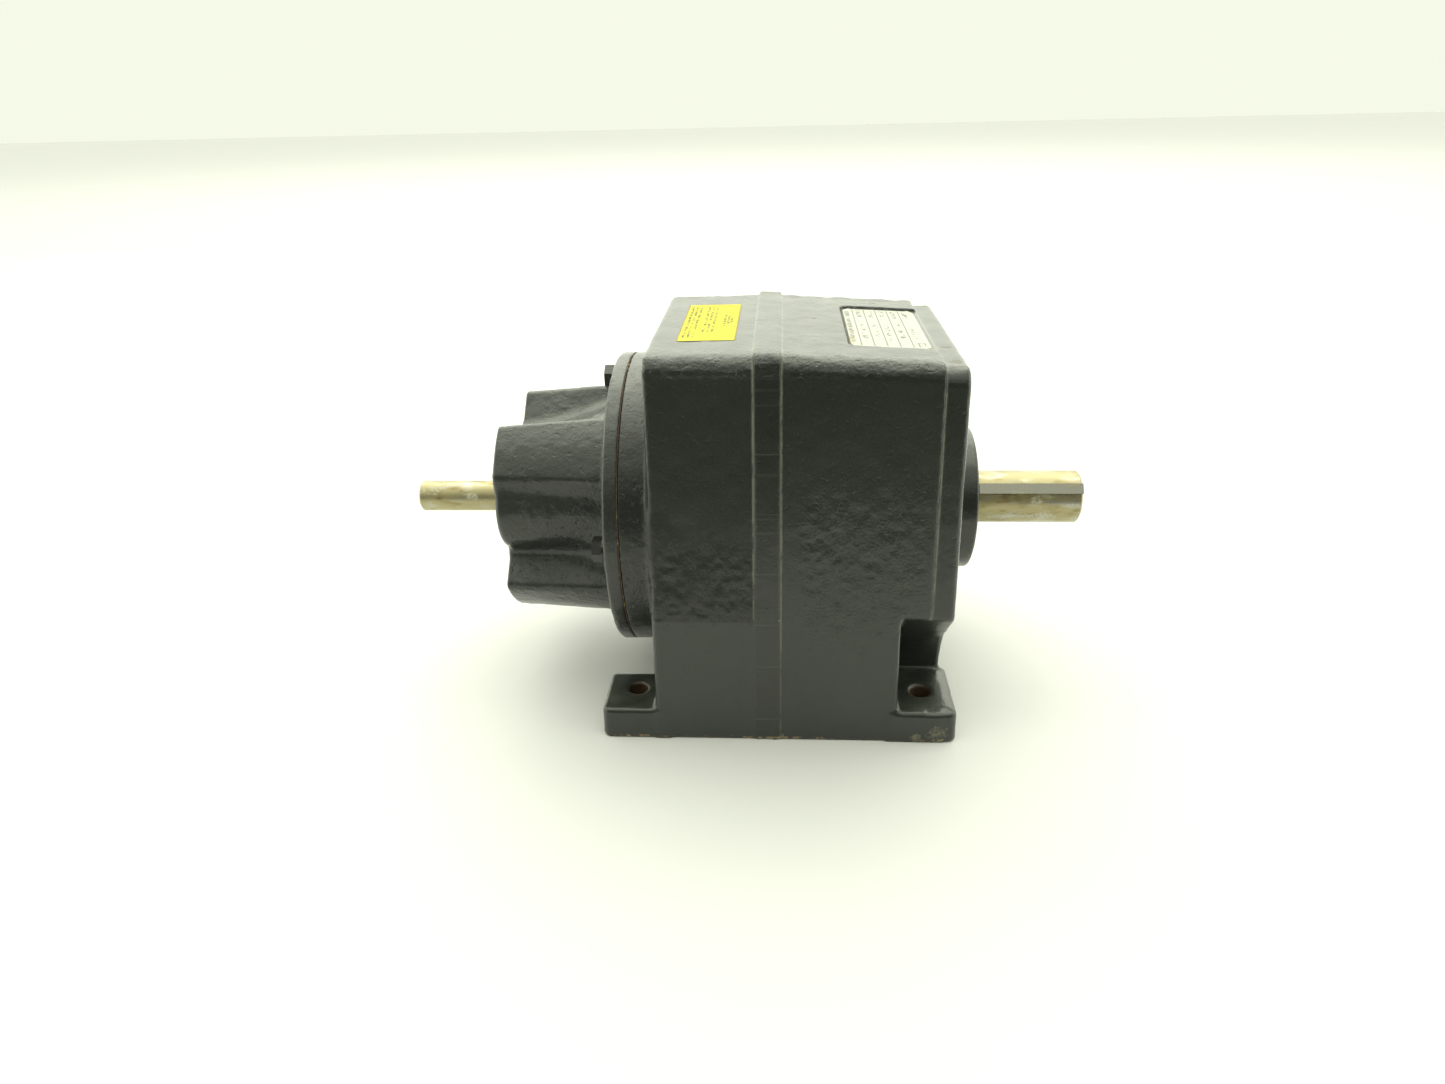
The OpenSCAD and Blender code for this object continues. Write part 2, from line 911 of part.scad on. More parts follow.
module cage(b) {
    color([0.62, 0.52, 0.30])
        bearing_at(b)
            difference() {
                cylinder(h = 1.25 * 2 * b[4], r = pitch_r(b) + 1, center = true);
                cylinder(h = b[3] + 1, r = pitch_r(b) - 1, center = true);
                for (i = [0:b[5] - 1])
                    rotate([0, 90, 360 * i / b[5]])
                        translate([0, 0, pitch_r(b) - 3])
                            cylinder(h = 6, r = b[4] + 0.08);
            }
}

// ---- the assembly --------------------------------------------------------

housing();
input_bracket();
flange_gasket();
flange_bolts();
flange_lock_washers();
input_shaft();
input_pinion();
input_seal();
input_wave_washer();
input_retaining_ring();
counter_shaft();
counter_gear();
counter_gear_key();
counter_retaining_ring();
counter_spacer();
counter_pinion();
output_shaft();
output_gear();
output_gear_key();
output_gear_spacer();
output_key();
output_seal();
output_retaining_ring();
fill_plug();
level_plug();
drain_plug();
nameplate();
nameplate_pins();
caution_label();
outer_race(input_end);  // input_end_bearing_outer_race
inner_race(input_end);  // input_end_bearing_inner_race
balls(input_end);  // input_end_bearing_balls
cage(input_end);  // input_end_bearing_cage
outer_race(input_gear_end);  // input_gear_bearing_outer_race
inner_race(input_gear_end);  // input_gear_bearing_inner_race
balls(input_gear_end);  // input_gear_bearing_balls
cage(input_gear_end);  // input_gear_bearing_cage
outer_race(counter_web);  // counter_web_bearing_outer_race
inner_race(counter_web);  // counter_web_bearing_inner_race
balls(counter_web);  // counter_web_bearing_balls
cage(counter_web);  // counter_web_bearing_cage
outer_race(counter_wall);  // counter_wall_bearing_outer_race
inner_race(counter_wall);  // counter_wall_bearing_inner_race
balls(counter_wall);  // counter_wall_bearing_balls
cage(counter_wall);  // counter_wall_bearing_cage
outer_race(output_web);  // output_web_bearing_outer_race
inner_race(output_web);  // output_web_bearing_inner_race
balls(output_web);  // output_web_bearing_balls
cage(output_web);  // output_web_bearing_cage
outer_race(output_end);  // output_end_bearing_outer_race
inner_race(output_end);  // output_end_bearing_inner_race
balls(output_end);  // output_end_bearing_balls
cage(output_end);  // output_end_bearing_cage
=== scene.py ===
"""Looks of the in-line helical gear reducer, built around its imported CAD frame."""

import json
import math

import bpy
import numpy as np
from mathutils import Matrix, Vector


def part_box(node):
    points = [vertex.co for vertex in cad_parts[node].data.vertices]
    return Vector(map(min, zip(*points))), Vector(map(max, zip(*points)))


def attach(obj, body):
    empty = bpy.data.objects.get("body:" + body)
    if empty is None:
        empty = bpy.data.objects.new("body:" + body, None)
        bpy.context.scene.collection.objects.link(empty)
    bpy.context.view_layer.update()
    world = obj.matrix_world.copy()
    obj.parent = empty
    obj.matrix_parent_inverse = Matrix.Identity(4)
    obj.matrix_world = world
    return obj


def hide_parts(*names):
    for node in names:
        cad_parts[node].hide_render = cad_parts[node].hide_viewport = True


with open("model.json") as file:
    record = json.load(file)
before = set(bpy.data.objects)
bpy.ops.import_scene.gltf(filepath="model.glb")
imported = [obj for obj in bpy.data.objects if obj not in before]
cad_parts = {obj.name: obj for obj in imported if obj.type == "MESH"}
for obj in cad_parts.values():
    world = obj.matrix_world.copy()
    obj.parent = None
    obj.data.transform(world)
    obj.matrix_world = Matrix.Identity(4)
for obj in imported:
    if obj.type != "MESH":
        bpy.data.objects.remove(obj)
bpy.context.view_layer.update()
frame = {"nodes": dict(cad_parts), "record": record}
nodes = frame["nodes"]

MM = 0.001  # metres in a millimetre


def box_mm(node):
    """Lowest and highest corner of a CAD node, in millimetres."""
    lo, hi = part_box(node)
    return np.array(lo) / MM, np.array(hi) / MM


# ---- sizes read from the frame ---------------------------------------------

housing_lo, housing_hi = box_mm("housing")
bracket_lo, bracket_hi = box_mm("input_bracket")
gasket_lo, gasket_hi = box_mm("flange_gasket")
shaft_lo, shaft_hi = box_mm("input_shaft")

shaft_z = (shaft_lo[2] + shaft_hi[2]) / 2
base_half_w = housing_hi[1]
band_top = housing_hi[2]
pad_x = -housing_lo[0]
boss_face = housing_hi[0]
hub_face = bracket_lo[0]
flange_r = (bracket_hi[2] - bracket_lo[2]) / 2
ring_face = gasket_hi[0]
ring_r = (gasket_hi[2] - gasket_lo[2]) / 2
gasket_face = gasket_lo[0]

# ---- sizes of the castings, in millimetres, as in the CAD -------------------

# side walls: their inward lean per unit of height, thickness and rounded top edges
side_lean = 0.0939
lean_cos = math.cos(math.atan(side_lean))
wall = 8.0
edge_r = 9.0
# the box, the raised band around it, and the step near its output end
box_x0, box_x1 = -70.3, 97.1
band_x0, band_x1 = -12.8, 0.9
step_x = 83.9
# heights of the top, from the band outwards to both ends
body_top = band_top - 1.4
left_top = body_top - 0.6
step_top = band_top - 6.1
strip_top = band_top - 9.0
# how far the sides stand back from the band's sides, and near the foot
inset_band, inset_left, inset_step, inset_strip = 1.5, 3.3, 2.4, 4.5
inset_low = 0.4
inset_slab = 0.5
# where the smooth lower part of the input half ends
lip_z = 72.0
# foot pads: thickness, inner ends and sides, and the lean of their outer faces
pad_t = 17.9
pad_end = 60.0
pad_inner_input, pad_inner_output = 61.7, 52.0
pad_lean, pad_lean_cos = 0.14, 0.99
hole_x, hole_y, hole_r = 82.9, 79.7, 5.55
scoop_r, scoop_taper = 16.8, 0.28
# pocket above the output-side feet: its back wall, its roof there and at the outside
pocket_x, pocket_y, pocket_z = 67.5, 56.0, 38.0
pocket_slope = (76.0 - pocket_z) / (95.5 - pocket_y)
# output boss, plug bosses and the nameplate's recess
boss_r, boss_taper = 43.6, 0.02
plug_boss_r, plug_bore_r = 13.0, 6.65
recess_x, recess_y, recess_depth = 37.0, 49.0, 2.1
# the hollow: its input end, floor, roof over the input end, and bridge with bearing seats
cavity_x0, cavity_floor = -62.3, 9.0
end_roof_x, end_roof_z = -35.5, 211.0
bridge_x0, bridge_x1, bridge_half_w = -36.0, -18.0, 34.0
counter_boss_r = 30.5
# relieved middle of the foot plane
relief_x, relief_y, relief_depth = 55.0, 75.0, 2.5
# input bracket: flange, core, four lobes, and the swelling on its near side
flange_face = -96.0
hub_core_r, hub_growth = 41.0, 19.0
lobe_r, lobe_half_w = 68.0, 17.7
lobe_draft = 0.0594
lobe_hole_r, lobe_hole_at = 4.0, 57.15
swell_y, swell_z, swell_r = -36.0, 11.0, 27.0
bolt_circle_r = 77.0
bolt_hole_r, bolt_seat_r, bolt_tap_r = 4.37, 9.5, 4.02


# ---- distance fields --------------------------------------------------------


def round_max(a, b, r):
    """Intersection of two fields with the shared edge rounded to radius r."""
    u, v = np.maximum(a + r, 0), np.maximum(b + r, 0)
    return np.minimum(-r, np.maximum(a, b)) + np.sqrt(u * u + v * v)


def round_min(a, b, r):
    """Union of two fields with a fillet of radius r between them."""
    u, v = np.maximum(r - a, 0), np.maximum(r - b, 0)
    return np.maximum(r, np.minimum(a, b)) - np.sqrt(u * u + v * v)


def between(t, low, high):
    """The slab between two values of t."""
    return np.maximum(low - t, t - high)


def smooth_step(t, low, high):
    """Rises smoothly from 0 to 1 between low and high."""
    s = np.clip((t - low) / (high - low), 0, 1)
    return s * s * (3 - 2 * s)


def cylinder(radius_field, r, along, low, high, edge=0.0):
    """A round bar or bore, with its end edges rounded where edge is above zero."""
    side, ends = radius_field - r, between(along, low, high)
    return round_max(side, ends, edge) if edge else np.maximum(side, ends)


def lattice(low, high, step):
    """Open coordinate arrays that cover a box, and its origin."""
    axes = [np.arange(l - 2 * step, h + 3 * step, step, dtype=np.float32) for l, h in zip(low, high)]
    x, y, z = np.meshgrid(*axes, indexing="ij", sparse=True)
    return x, y, z, np.array([a[0] for a in axes])


def surface_net(field, origin, step):
    """Vertices and quads of the surface where the field is zero."""
    inside = field < 0
    count = np.zeros([n - 1 for n in field.shape], np.uint8)
    corners = [(i, j, k) for i in (0, 1) for j in (0, 1) for k in (0, 1)]
    for i, j, k in corners:
        count += inside[i : i + count.shape[0], j : j + count.shape[1], k : k + count.shape[2]]
    cells = np.argwhere((count > 0) & (count < 8))
    number = np.full(count.shape, -1, np.int32)
    number[tuple(cells.T)] = np.arange(len(cells))
    total = np.zeros((len(cells), 3))
    crossings = np.zeros(len(cells))
    for a in corners:
        for axis in range(3):
            if a[axis]:
                continue
            b = np.array(a)
            b[axis] = 1
            fa = field[tuple((cells + a).T)]
            fb = field[tuple((cells + b).T)]
            cut = (fa < 0) != (fb < 0)
            t = fa[cut] / (fa[cut] - fb[cut])
            total[cut] += np.array(a) + t[:, None] * (b - a)
            crossings[cut] += 1
    points = origin + step * (cells + total / crossings[:, None])
    quads = []
    for d, u, v in ((0, 1, 2), (1, 2, 0), (2, 0, 1)):
        start = [slice(1, -1)] * 3
        end = [slice(1, -1)] * 3
        start[d], end[d] = slice(0, -1), slice(1, None)
        first, second = inside[tuple(start)], inside[tuple(end)]
        at = np.argwhere(first != second)
        outward = first[tuple(at.T)]
        shift = np.array([1, 1, 1])
        shift[d] = 0
        at = at + shift
        du, dv = np.eye(3, dtype=int)[u], np.eye(3, dtype=int)[v]
        ring = [number[tuple((at - move).T)] for move in (du + dv, dv, 0 * du, du)]
        quad = np.stack(ring, axis=1)
        quad[~outward] = quad[~outward][:, ::-1]
        quads.append(quad)
    return points, np.concatenate(quads)


def mesh_object(name, points, faces):
    """A mesh object from points in metres and quads."""
    mesh = bpy.data.meshes.new(name)
    mesh.vertices.add(len(points))
    mesh.vertices.foreach_set("co", np.asarray(points, np.float32).ravel())
    mesh.loops.add(faces.size)
    mesh.loops.foreach_set("vertex_index", faces.astype(np.int32).ravel())
    mesh.polygons.add(len(faces))
    mesh.polygons.foreach_set("loop_start", np.arange(0, faces.size, faces.shape[1], dtype=np.int32))
    mesh.update(calc_edges=True)
    mesh.validate()
    obj = bpy.data.objects.new(name, mesh)
    bpy.context.scene.collection.objects.link(obj)
    return obj


def bake_modifiers(obj):
    """Applies every modifier on an object."""
    graph = bpy.context.evaluated_depsgraph_get()
    mesh = bpy.data.meshes.new_from_object(obj.evaluated_get(graph))
    obj.modifiers.clear()
    obj.data = mesh
    return obj


# ---- housing ----------------------------------------------------------------


def pocket_field(x, ay, z, grow=0.0):
    """Bolt access pocket above an output-side foot, or the same made larger by grow."""
    back = pocket_y - grow - ay
    roof = (z - pocket_z - grow - pocket_slope * (ay - pocket_y)) / math.hypot(1, pocket_slope)
    inside = round_max(back, roof, 12 + grow)
    inside = round_max(inside, pocket_x - grow - x, 3 + grow)
    return round_max(inside, pad_t - grow - z, 3)


def plug_boss(x, y, z, at):
    """Round boss around a plug on the far side."""
    px, pz, py = at
    r = np.hypot(x - px, z - pz)
    return cylinder(r, plug_boss_r, y, py - wall - 6, py, 1.5)


def plug_place(node):
    """Centre of a plug along X and Z, and the face of its boss along Y."""
    lo, hi = box_mm(node)
    return (lo[0] + hi[0]) / 2, (lo[2] + hi[2]) / 2, hi[1] - 0.5


plug_places = [plug_place(n) for n in ("fill_plug", "level_plug", "drain_plug")]
counter_lo, counter_hi = box_mm("counter_shaft")
counter_z = (counter_lo[2] + counter_hi[2]) / 2


def side_wall(ay, z):
    """The plane of a leaning side wall."""
    return (ay - base_half_w + side_lean * z) * lean_cos


def right_roof(x):
    """Height of the top between the band and the step."""
    return body_top - (body_top - step_top) * (x - band_x1 + 1) / (step_x - band_x1 + 1)


def box_part(side, top, ends, top_r, end_r):
    """A stretch of the box: its sides, its rounded top and its two ends."""
    return round_max(round_max(side, top, top_r), ends, end_r)


def housing_box(x, ay, z):
    """The cast box with its band, its step and the slab between the feet."""
    side = side_wall(ay, z)
    top_left = left_top + (body_top - left_top) * (x - box_x0) / (band_x0 + 1 - box_x0)
    in_left = inset_left - (inset_left - inset_band) * (x - box_x0) / (band_x0 + 1 - box_x0)
    in_left = inset_low + (in_left - inset_low) * smooth_step(z, lip_z - 6, lip_z + 50)
    in_right = inset_band + (inset_step - inset_band) * (x - band_x1 + 1) / (step_x - band_x1 + 1)
    in_right = inset_low + (in_right - inset_low) * smooth_step(z, 4, 70)
    left = box_part(side + in_left, z - top_left, between(x, box_x0, band_x0 + 4), edge_r, 3.0)
    right = box_part(side + in_right, z - right_roof(x), between(x, band_x1 - 4, step_x), edge_r, 1.5)
    strip = box_part(side + inset_strip, z - strip_top, between(x, step_x - 8, box_x1), edge_r, 3.5)
    band = box_part(side, z - band_top, between(x, band_x0, band_x1), edge_r - 2, 1.0)
    slab = box_part(side + inset_slab, z - pad_t, between(x, box_x0, box_x1 - 3), 2.5, 3.0)
    body = np.minimum(left, round_min(right, strip, 1.5))
    body = round_min(body, band, 1.2)
    body = np.maximum(body, -z)
    return np.minimum(body, slab)


def foot_pads(x, ay, z):
    """The four pads that the foot bolts hold."""
    outer = (ay - base_half_w + pad_lean * z) * pad_lean_cos
    inner = np.where(x < 0, pad_inner_input, pad_inner_output) - ay
    pads = round_max(outer, between(np.abs(x), pad_end, pad_x), 5.0)
    pads = round_max(pads, z - pad_t, 2.5)
    return round_max(pads, inner, 4.0)


def housing_outside(x, y, z):
    """The outer shape, with feet, bosses and the hollows around the bolt heads."""
    ay = np.abs(y)
    body = housing_box(x, ay, z)
    body = round_max(body, -pocket_field(x, ay, z), 2.2)
    scoop = np.hypot(x + hole_x, ay - hole_y) - (scoop_r - scoop_taper * (z - pad_t))
    body = round_max(body, -round_max(scoop, pad_t - z, 3), 2.0)
    r = np.hypot(y, z - shaft_z)
    ring = cylinder(r, ring_r, x, ring_face - 6, box_x0 + 10)
    boss = cylinder(r, boss_r - boss_taper * (x - box_x1), x, box_x1 - 20, boss_face, 2.0)
    body = round_min(body, ring, 4.0)
    body = round_min(body, boss, 4.0)
    body = round_min(body, foot_pads(x, ay, z), 3.0)
    for at in plug_places:
        body = round_min(body, plug_boss(x, y, z, at), 3.0)
    return body


def housing_inside(x, y, z):
    """The hollow, with the bridge and the bearing bosses left standing."""
    ay = np.abs(y)
    roof = np.where(x < end_roof_x, end_roof_z, step_top - wall)
    hollow = round_max(side_wall(ay, z) + inset_left + wall, z - roof, edge_r)
    hollow = round_max(hollow, cavity_floor - z, 5)
    hollow = round_max(hollow, between(x, cavity_x0, box_x1 - 10), 4)
    bridge = round_max(between(x, bridge_x0, bridge_x1), ay - bridge_half_w, 3)
    hollow = round_max(hollow, -bridge, 4)
    hollow = round_max(hollow, -pocket_field(x, ay, z, wall), 4)
    r = np.hypot(y, z - shaft_z)
    rc = np.hypot(y, z - counter_z)
    hollow = round_max(hollow, -cylinder(rc, counter_boss_r, x, 72.0, box_x1), 3)
    hollow = round_max(hollow, -cylinder(r, boss_r, x, 86.0, box_x1), 3)
    return hollow


# radius and both ends of each bore, on the line of the input and output shafts
shaft_line_bores = (
    (66, ring_face - 3, -61),  # opening for the input bracket
    (26, -35, -17),  # bearing seat in the bridge
    (20, -37, -17),  # passage through the bridge
    (36, 88, boss_face + 3),  # bearing seat in the output wall, and the seal's
    (30, 82, boss_face),  # passage through the output wall
    (37.6, 105.2, 107.4),  # groove of the retaining ring
)
# the same, on the line of the countershaft
counter_line_bores = (
    (23.5, -37, -20),  # bearing seat in the bridge
    (20, -37, -17),  # passage through the bridge
    (23.5, 71, 88),  # bearing seat in the output wall
    (14, 74, 92),  # relief behind that bearing
)


def housing_bores(x, y, z):
    """Everything that is drilled, bored or milled."""
    ay = np.abs(y)
    r = np.hypot(y, z - shaft_z)
    rc = np.hypot(y, z - counter_z)
    cuts = [cylinder(r, size, x, low, high) for size, low, high in shaft_line_bores]
    cuts += [cylinder(rc, size, x, low, high) for size, low, high in counter_line_bores]
    foot = np.hypot(np.abs(x) - hole_x, ay - hole_y)
    cuts.append(cylinder(foot, hole_r, z, -3, pad_t + 3))
    chamfer = foot - (hole_r - (pad_t - z) + 0.7)
    cuts.append(np.maximum(chamfer, between(z, pad_t - 2, pad_t + 2)))
    relief = round_max(between(x, -relief_x, relief_x), ay - relief_y, 6)
    cuts.append(round_max(relief, z - relief_depth, 1))
    for up, across in ((1, 0), (0, 1), (-1, 0), (0, -1)):
        d = np.hypot(z - shaft_z - bolt_circle_r * up, y - bolt_circle_r * across)
        cuts.append(cylinder(d, bolt_tap_r, x, ring_face - 3, ring_face + 18))
    for px, pz, py in plug_places:
        cuts.append(cylinder(np.hypot(x - px, z - pz), plug_bore_r, y, py - 40, py + 5))
    total = cuts[0]
    for c in cuts[1:]:
        total = np.minimum(total, c)
    return total


def recess_field(x, y, z):
    """Milled recess that the nameplate sits in."""
    sides = round_max(recess_x - x, np.abs(y) - recess_y, 5)
    return np.maximum(np.maximum(sides, right_roof(x) - recess_depth - z), x - 99)


def housing_field(x, y, z):
    """The finished housing: cast shape, machined faces, hollow, recess and bores."""
    body = housing_outside(x, y, z)
    body = np.maximum(body, -z)
    body = np.maximum(body, np.minimum(ring_face - x, z - pad_t - 2))
    body = np.maximum(body, x - boss_face)
    body = np.maximum(body, -housing_inside(x, y, z))
    body = round_max(body, -recess_field(x, y, z), 0.6)
    return np.maximum(body, -housing_bores(x, y, z))


# ---- input bracket ----------------------------------------------------------


# radius and both ends of each bore on the bracket's axis
bracket_bores = (
    (20, hub_face - 3, hub_face + 8.6),  # seal seat
    (18, hub_face, -100),  # shaft passage
    (26, -150, -80),  # seat of the outer bearing
    (27, -133, -80),  # clearance between the bearings
    (31, -100, -77),  # seat of the inner bearing
    (32.6, -83.8, -82.2),  # groove of the retaining ring
)


def bracket_shape(x, y, zc):
    """The cast outside: core, near-side swelling, four lobes, flange and spigot."""
    r = np.hypot(y, zc)
    ends = between(x, hub_face, flange_face + 4)
    along = np.clip((x - hub_face) / (flange_face + 1 - hub_face), 0, 1)
    draft = lobe_draft * (x - hub_face)
    across = (np.abs(zc) - np.abs(y)) / math.sqrt(2)
    core = round_max(r - hub_core_r - hub_growth * along**1.6, ends, 3.0)
    near_side = np.hypot(y - swell_y, zc - swell_z)
    swell = cylinder(near_side, swell_r - 3 * along, x, hub_face, flange_face + 4, 4.0)
    core = round_min(core, swell, 7.0)
    lobe = round_max(np.abs(across) - lobe_half_w - draft, r - lobe_r - draft, 3.5)
    lobe = round_max(lobe, ends, 1.8)
    lobe = np.maximum(lobe, 20 - r)
    body = round_min(core, lobe, 9.0)
    flange = round_max(r - flange_r, between(x, flange_face, gasket_face + 4), 2.5)
    body = round_min(body, flange, 5.0)
    body = np.maximum(body, x - gasket_face)
    body = np.maximum(body, hub_face - x)
    return np.minimum(body, cylinder(r, 65.9, x, gasket_face - 2, -80))


def bracket_field(x, y, z):
    """The finished input bracket with its bores and bolt holes."""
    zc = z - shaft_z
    body = bracket_shape(x, y, zc)
    r = np.hypot(y, zc)
    ay, az = np.abs(y), np.abs(zc)
    bolt = np.minimum(np.hypot(ay - bolt_circle_r, az), np.hypot(ay, az - bolt_circle_r))
    across, outward = (az - ay) / math.sqrt(2), (az + ay) / math.sqrt(2)
    lobe_hole = np.hypot(across, outward - lobe_hole_at)
    cuts = [cylinder(r, size, x, low, high) for size, low, high in bracket_bores]
    cuts.append(cylinder(bolt, bolt_hole_r, x, flange_face - 3, gasket_face + 3))
    cuts.append(cylinder(bolt, bolt_seat_r, x, flange_face - 20, flange_face))
    cuts.append(cylinder(lobe_hole, lobe_hole_r, x, hub_face - 3, hub_face + 18))
    for c in cuts:
        body = np.maximum(body, -c)
    return body


# ---- build the castings -----------------------------------------------------


def value_noise(points, size, seed):
    """Smooth noise between -1 and 1 whose lumps are about size across."""
    table = np.random.default_rng(seed).uniform(-1, 1, (64, 64, 64))
    cell = np.floor(points / size).astype(int)
    t = points / size - cell
    t = t * t * (3 - 2 * t)
    total = np.zeros(len(points))
    for corner in np.ndindex(2, 2, 2):
        weight = np.prod(np.where(corner, t, 1 - t), axis=1)
        total += weight * table[tuple(((cell + corner) % 64).T)]
    return total


def vertex_data(obj, kind):
    """Vertex places or normals as rows of three, in the mesh's own units."""
    values = np.zeros(len(obj.data.vertices) * 3, np.float32)
    source = obj.data.vertices if kind == "co" else obj.data.vertex_normals
    source.foreach_get("co" if kind == "co" else "vector", values)
    return values.reshape(-1, 3).astype(float)


def set_attribute(obj, name, values):
    """Stores one number per vertex for the materials to read."""
    attribute = obj.data.attributes.new(name, "FLOAT", "POINT")
    attribute.data.foreach_set("value", np.asarray(values, np.float32))


def curvature(obj):
    """Above zero in hollows and below zero on ridges, per vertex, in 1/mm."""
    points, normals = vertex_data(obj, "co") / MM, vertex_data(obj, "normal")
    edges = np.zeros(len(obj.data.edges) * 2, np.int32)
    obj.data.edges.foreach_get("vertices", edges)
    a, b = edges.reshape(-1, 2).T
    step = points[b] - points[a]
    reach = np.maximum((step * step).sum(1), 0.01)
    total, count = np.zeros(len(points)), np.zeros(len(points))
    np.add.at(total, a, (step * normals[a]).sum(1) / reach)
    np.add.at(total, b, (-step * normals[b]).sum(1) / reach)
    np.add.at(count, a, 1)
    np.add.at(count, b, 1)
    value = total / np.maximum(count, 1)
    # three rounds of averaging with the neighbours
    for _ in range(3):
        spread, near = value.copy(), np.ones(len(points))
        np.add.at(spread, a, value[b])
        np.add.at(spread, b, value[a])
        np.add.at(near, a, 1)
        np.add.at(near, b, 1)
        value = spread / near
    return value


# lumps of the cast skin: size, height on smooth skin, and height added by full grain
skin_lumps = ((8.0, 0.10, 0.12), (3.6, 0.0, 0.24), (2.1, 0.0, 0.14))


def roughen(obj, grain, seed):
    """Moves the cast skin in and out by a sand-like grain, and keeps machined faces."""
    points, normals = vertex_data(obj, "co") / MM, vertex_data(obj, "normal")
    amount = grain(points)
    lumps = np.zeros(len(points))
    for i, (size, plain, added) in enumerate(skin_lumps):
        lumps += (plain + added * amount) * value_noise(points, size, seed + i)
    lumps *= amount > 0
    moved = (points + normals * lumps[:, None]) * MM
    obj.data.vertices.foreach_set("co", moved.astype(np.float32).ravel())
    obj.data.update()


def casting(name, field, grain, low, high, step, keep, seed):
    """A casting meshed from its distance field, roughened, and thinned where it is flat."""
    x, y, z, origin = lattice(low, high, step)
    points, quads = surface_net(field(x, y, z).astype(np.float32), origin, step)
    obj = mesh_object(name, points * MM, quads)
    roughen(obj, grain, seed)
    thin = obj.modifiers.new("thin", "DECIMATE")
    thin.ratio = keep
    bake_modifiers(obj)
    set_attribute(obj, "grain", grain(vertex_data(obj, "co") / MM))
    bend = curvature(obj)
    set_attribute(obj, "hollow", smooth_step(bend, 0.03, 0.16))
    set_attribute(obj, "ridge", smooth_step(-bend, 0.05, 0.25))
    obj.data.polygons.foreach_set("use_smooth", np.ones(len(obj.data.polygons), bool))
    normals = obj.modifiers.new("normals", "WEIGHTED_NORMAL")
    normals.mode = "FACE_AREA_WITH_ANGLE"
    return obj


machined_near = 0.8  # distance from a machined face within which nothing is rough


def housing_grain(points):
    """How rough the sand left the housing, from 0 on machined faces to 1."""
    x, y, z = points.T
    ay = np.abs(y)
    flank = smooth_step(ay, 70, 80)
    patch = 0.5 + 0.5 * value_noise(points, 24, 40)
    right = smooth_step(x, 4, 22) * smooth_step(-x, -84, -74)
    right *= smooth_step(z, 48, 84) * smooth_step(-z, -168, -112)
    left = smooth_step(-x, 12, 16) * smooth_step(z, lip_z, lip_z + 2) * smooth_step(-z, -128, -96)
    edge = smooth_step(z, 206, 211) * smooth_step(ay, 60, 74)
    grain = 0.16 + 0.84 * flank * np.maximum(right * (0.35 + 0.65 * patch), 0.9 * left)
    grain = np.maximum(grain, edge)
    grain = np.maximum(grain, 0.45 * smooth_step(z, 209, 212) * (0.4 + 0.6 * patch))
    grain = np.maximum(grain, 0.5 * smooth_step(-x, 70.5, 72) * (z > 22))
    cut = np.minimum(np.abs(housing_bores(x, y, z)), np.abs(x - boss_face))
    cut = np.minimum(cut, np.minimum(z, np.abs(x - ring_face) + 50 * (z < 19)))
    return np.where(cut < machined_near, 0.0, grain)


def bracket_grain(points):
    """How rough the sand left the bracket, from 0 on machined faces to 1."""
    x, y, z = points.T
    r = np.hypot(y, z - shaft_z)
    grain = 0.55 + 0.4 * value_noise(points, 20, 41)
    grain = np.where(x > flange_face + 0.5, 0.4, grain)
    cut = np.minimum(np.abs(x - gasket_face), np.abs(x - hub_face))
    cut = np.where((r < 34) | (x > gasket_face - 1), 0, cut)
    beside = np.hypot(np.abs(y) - bolt_circle_r, z - shaft_z)
    above = np.hypot(y, np.abs(z - shaft_z) - bolt_circle_r)
    seat = np.minimum(beside, above) < bolt_seat_r - 0.3
    cut = np.where(seat & (np.abs(x - flange_face) < 1), 0, cut)
    return np.where(cut < machined_near, 0.0, grain)


housing_step, housing_keep = ((1.0, 0.3))
bracket_step, bracket_keep = ((0.8, 0.35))
housing_seed, bracket_seed = 11, 23

housing = casting(
    "housing_casting",
    housing_field,
    housing_grain,
    housing_lo,
    housing_hi,
    housing_step,
    housing_keep,
    housing_seed,
)
bracket = casting(
    "bracket_casting",
    bracket_field,
    bracket_grain,
    bracket_lo,
    bracket_hi,
    bracket_step,
    bracket_keep,
    bracket_seed,
)
for piece, node in ((housing, "housing"), (bracket, "input_bracket")):
    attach(piece, "gearcase")
    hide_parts(node)


# ---- node helpers -----------------------------------------------------------


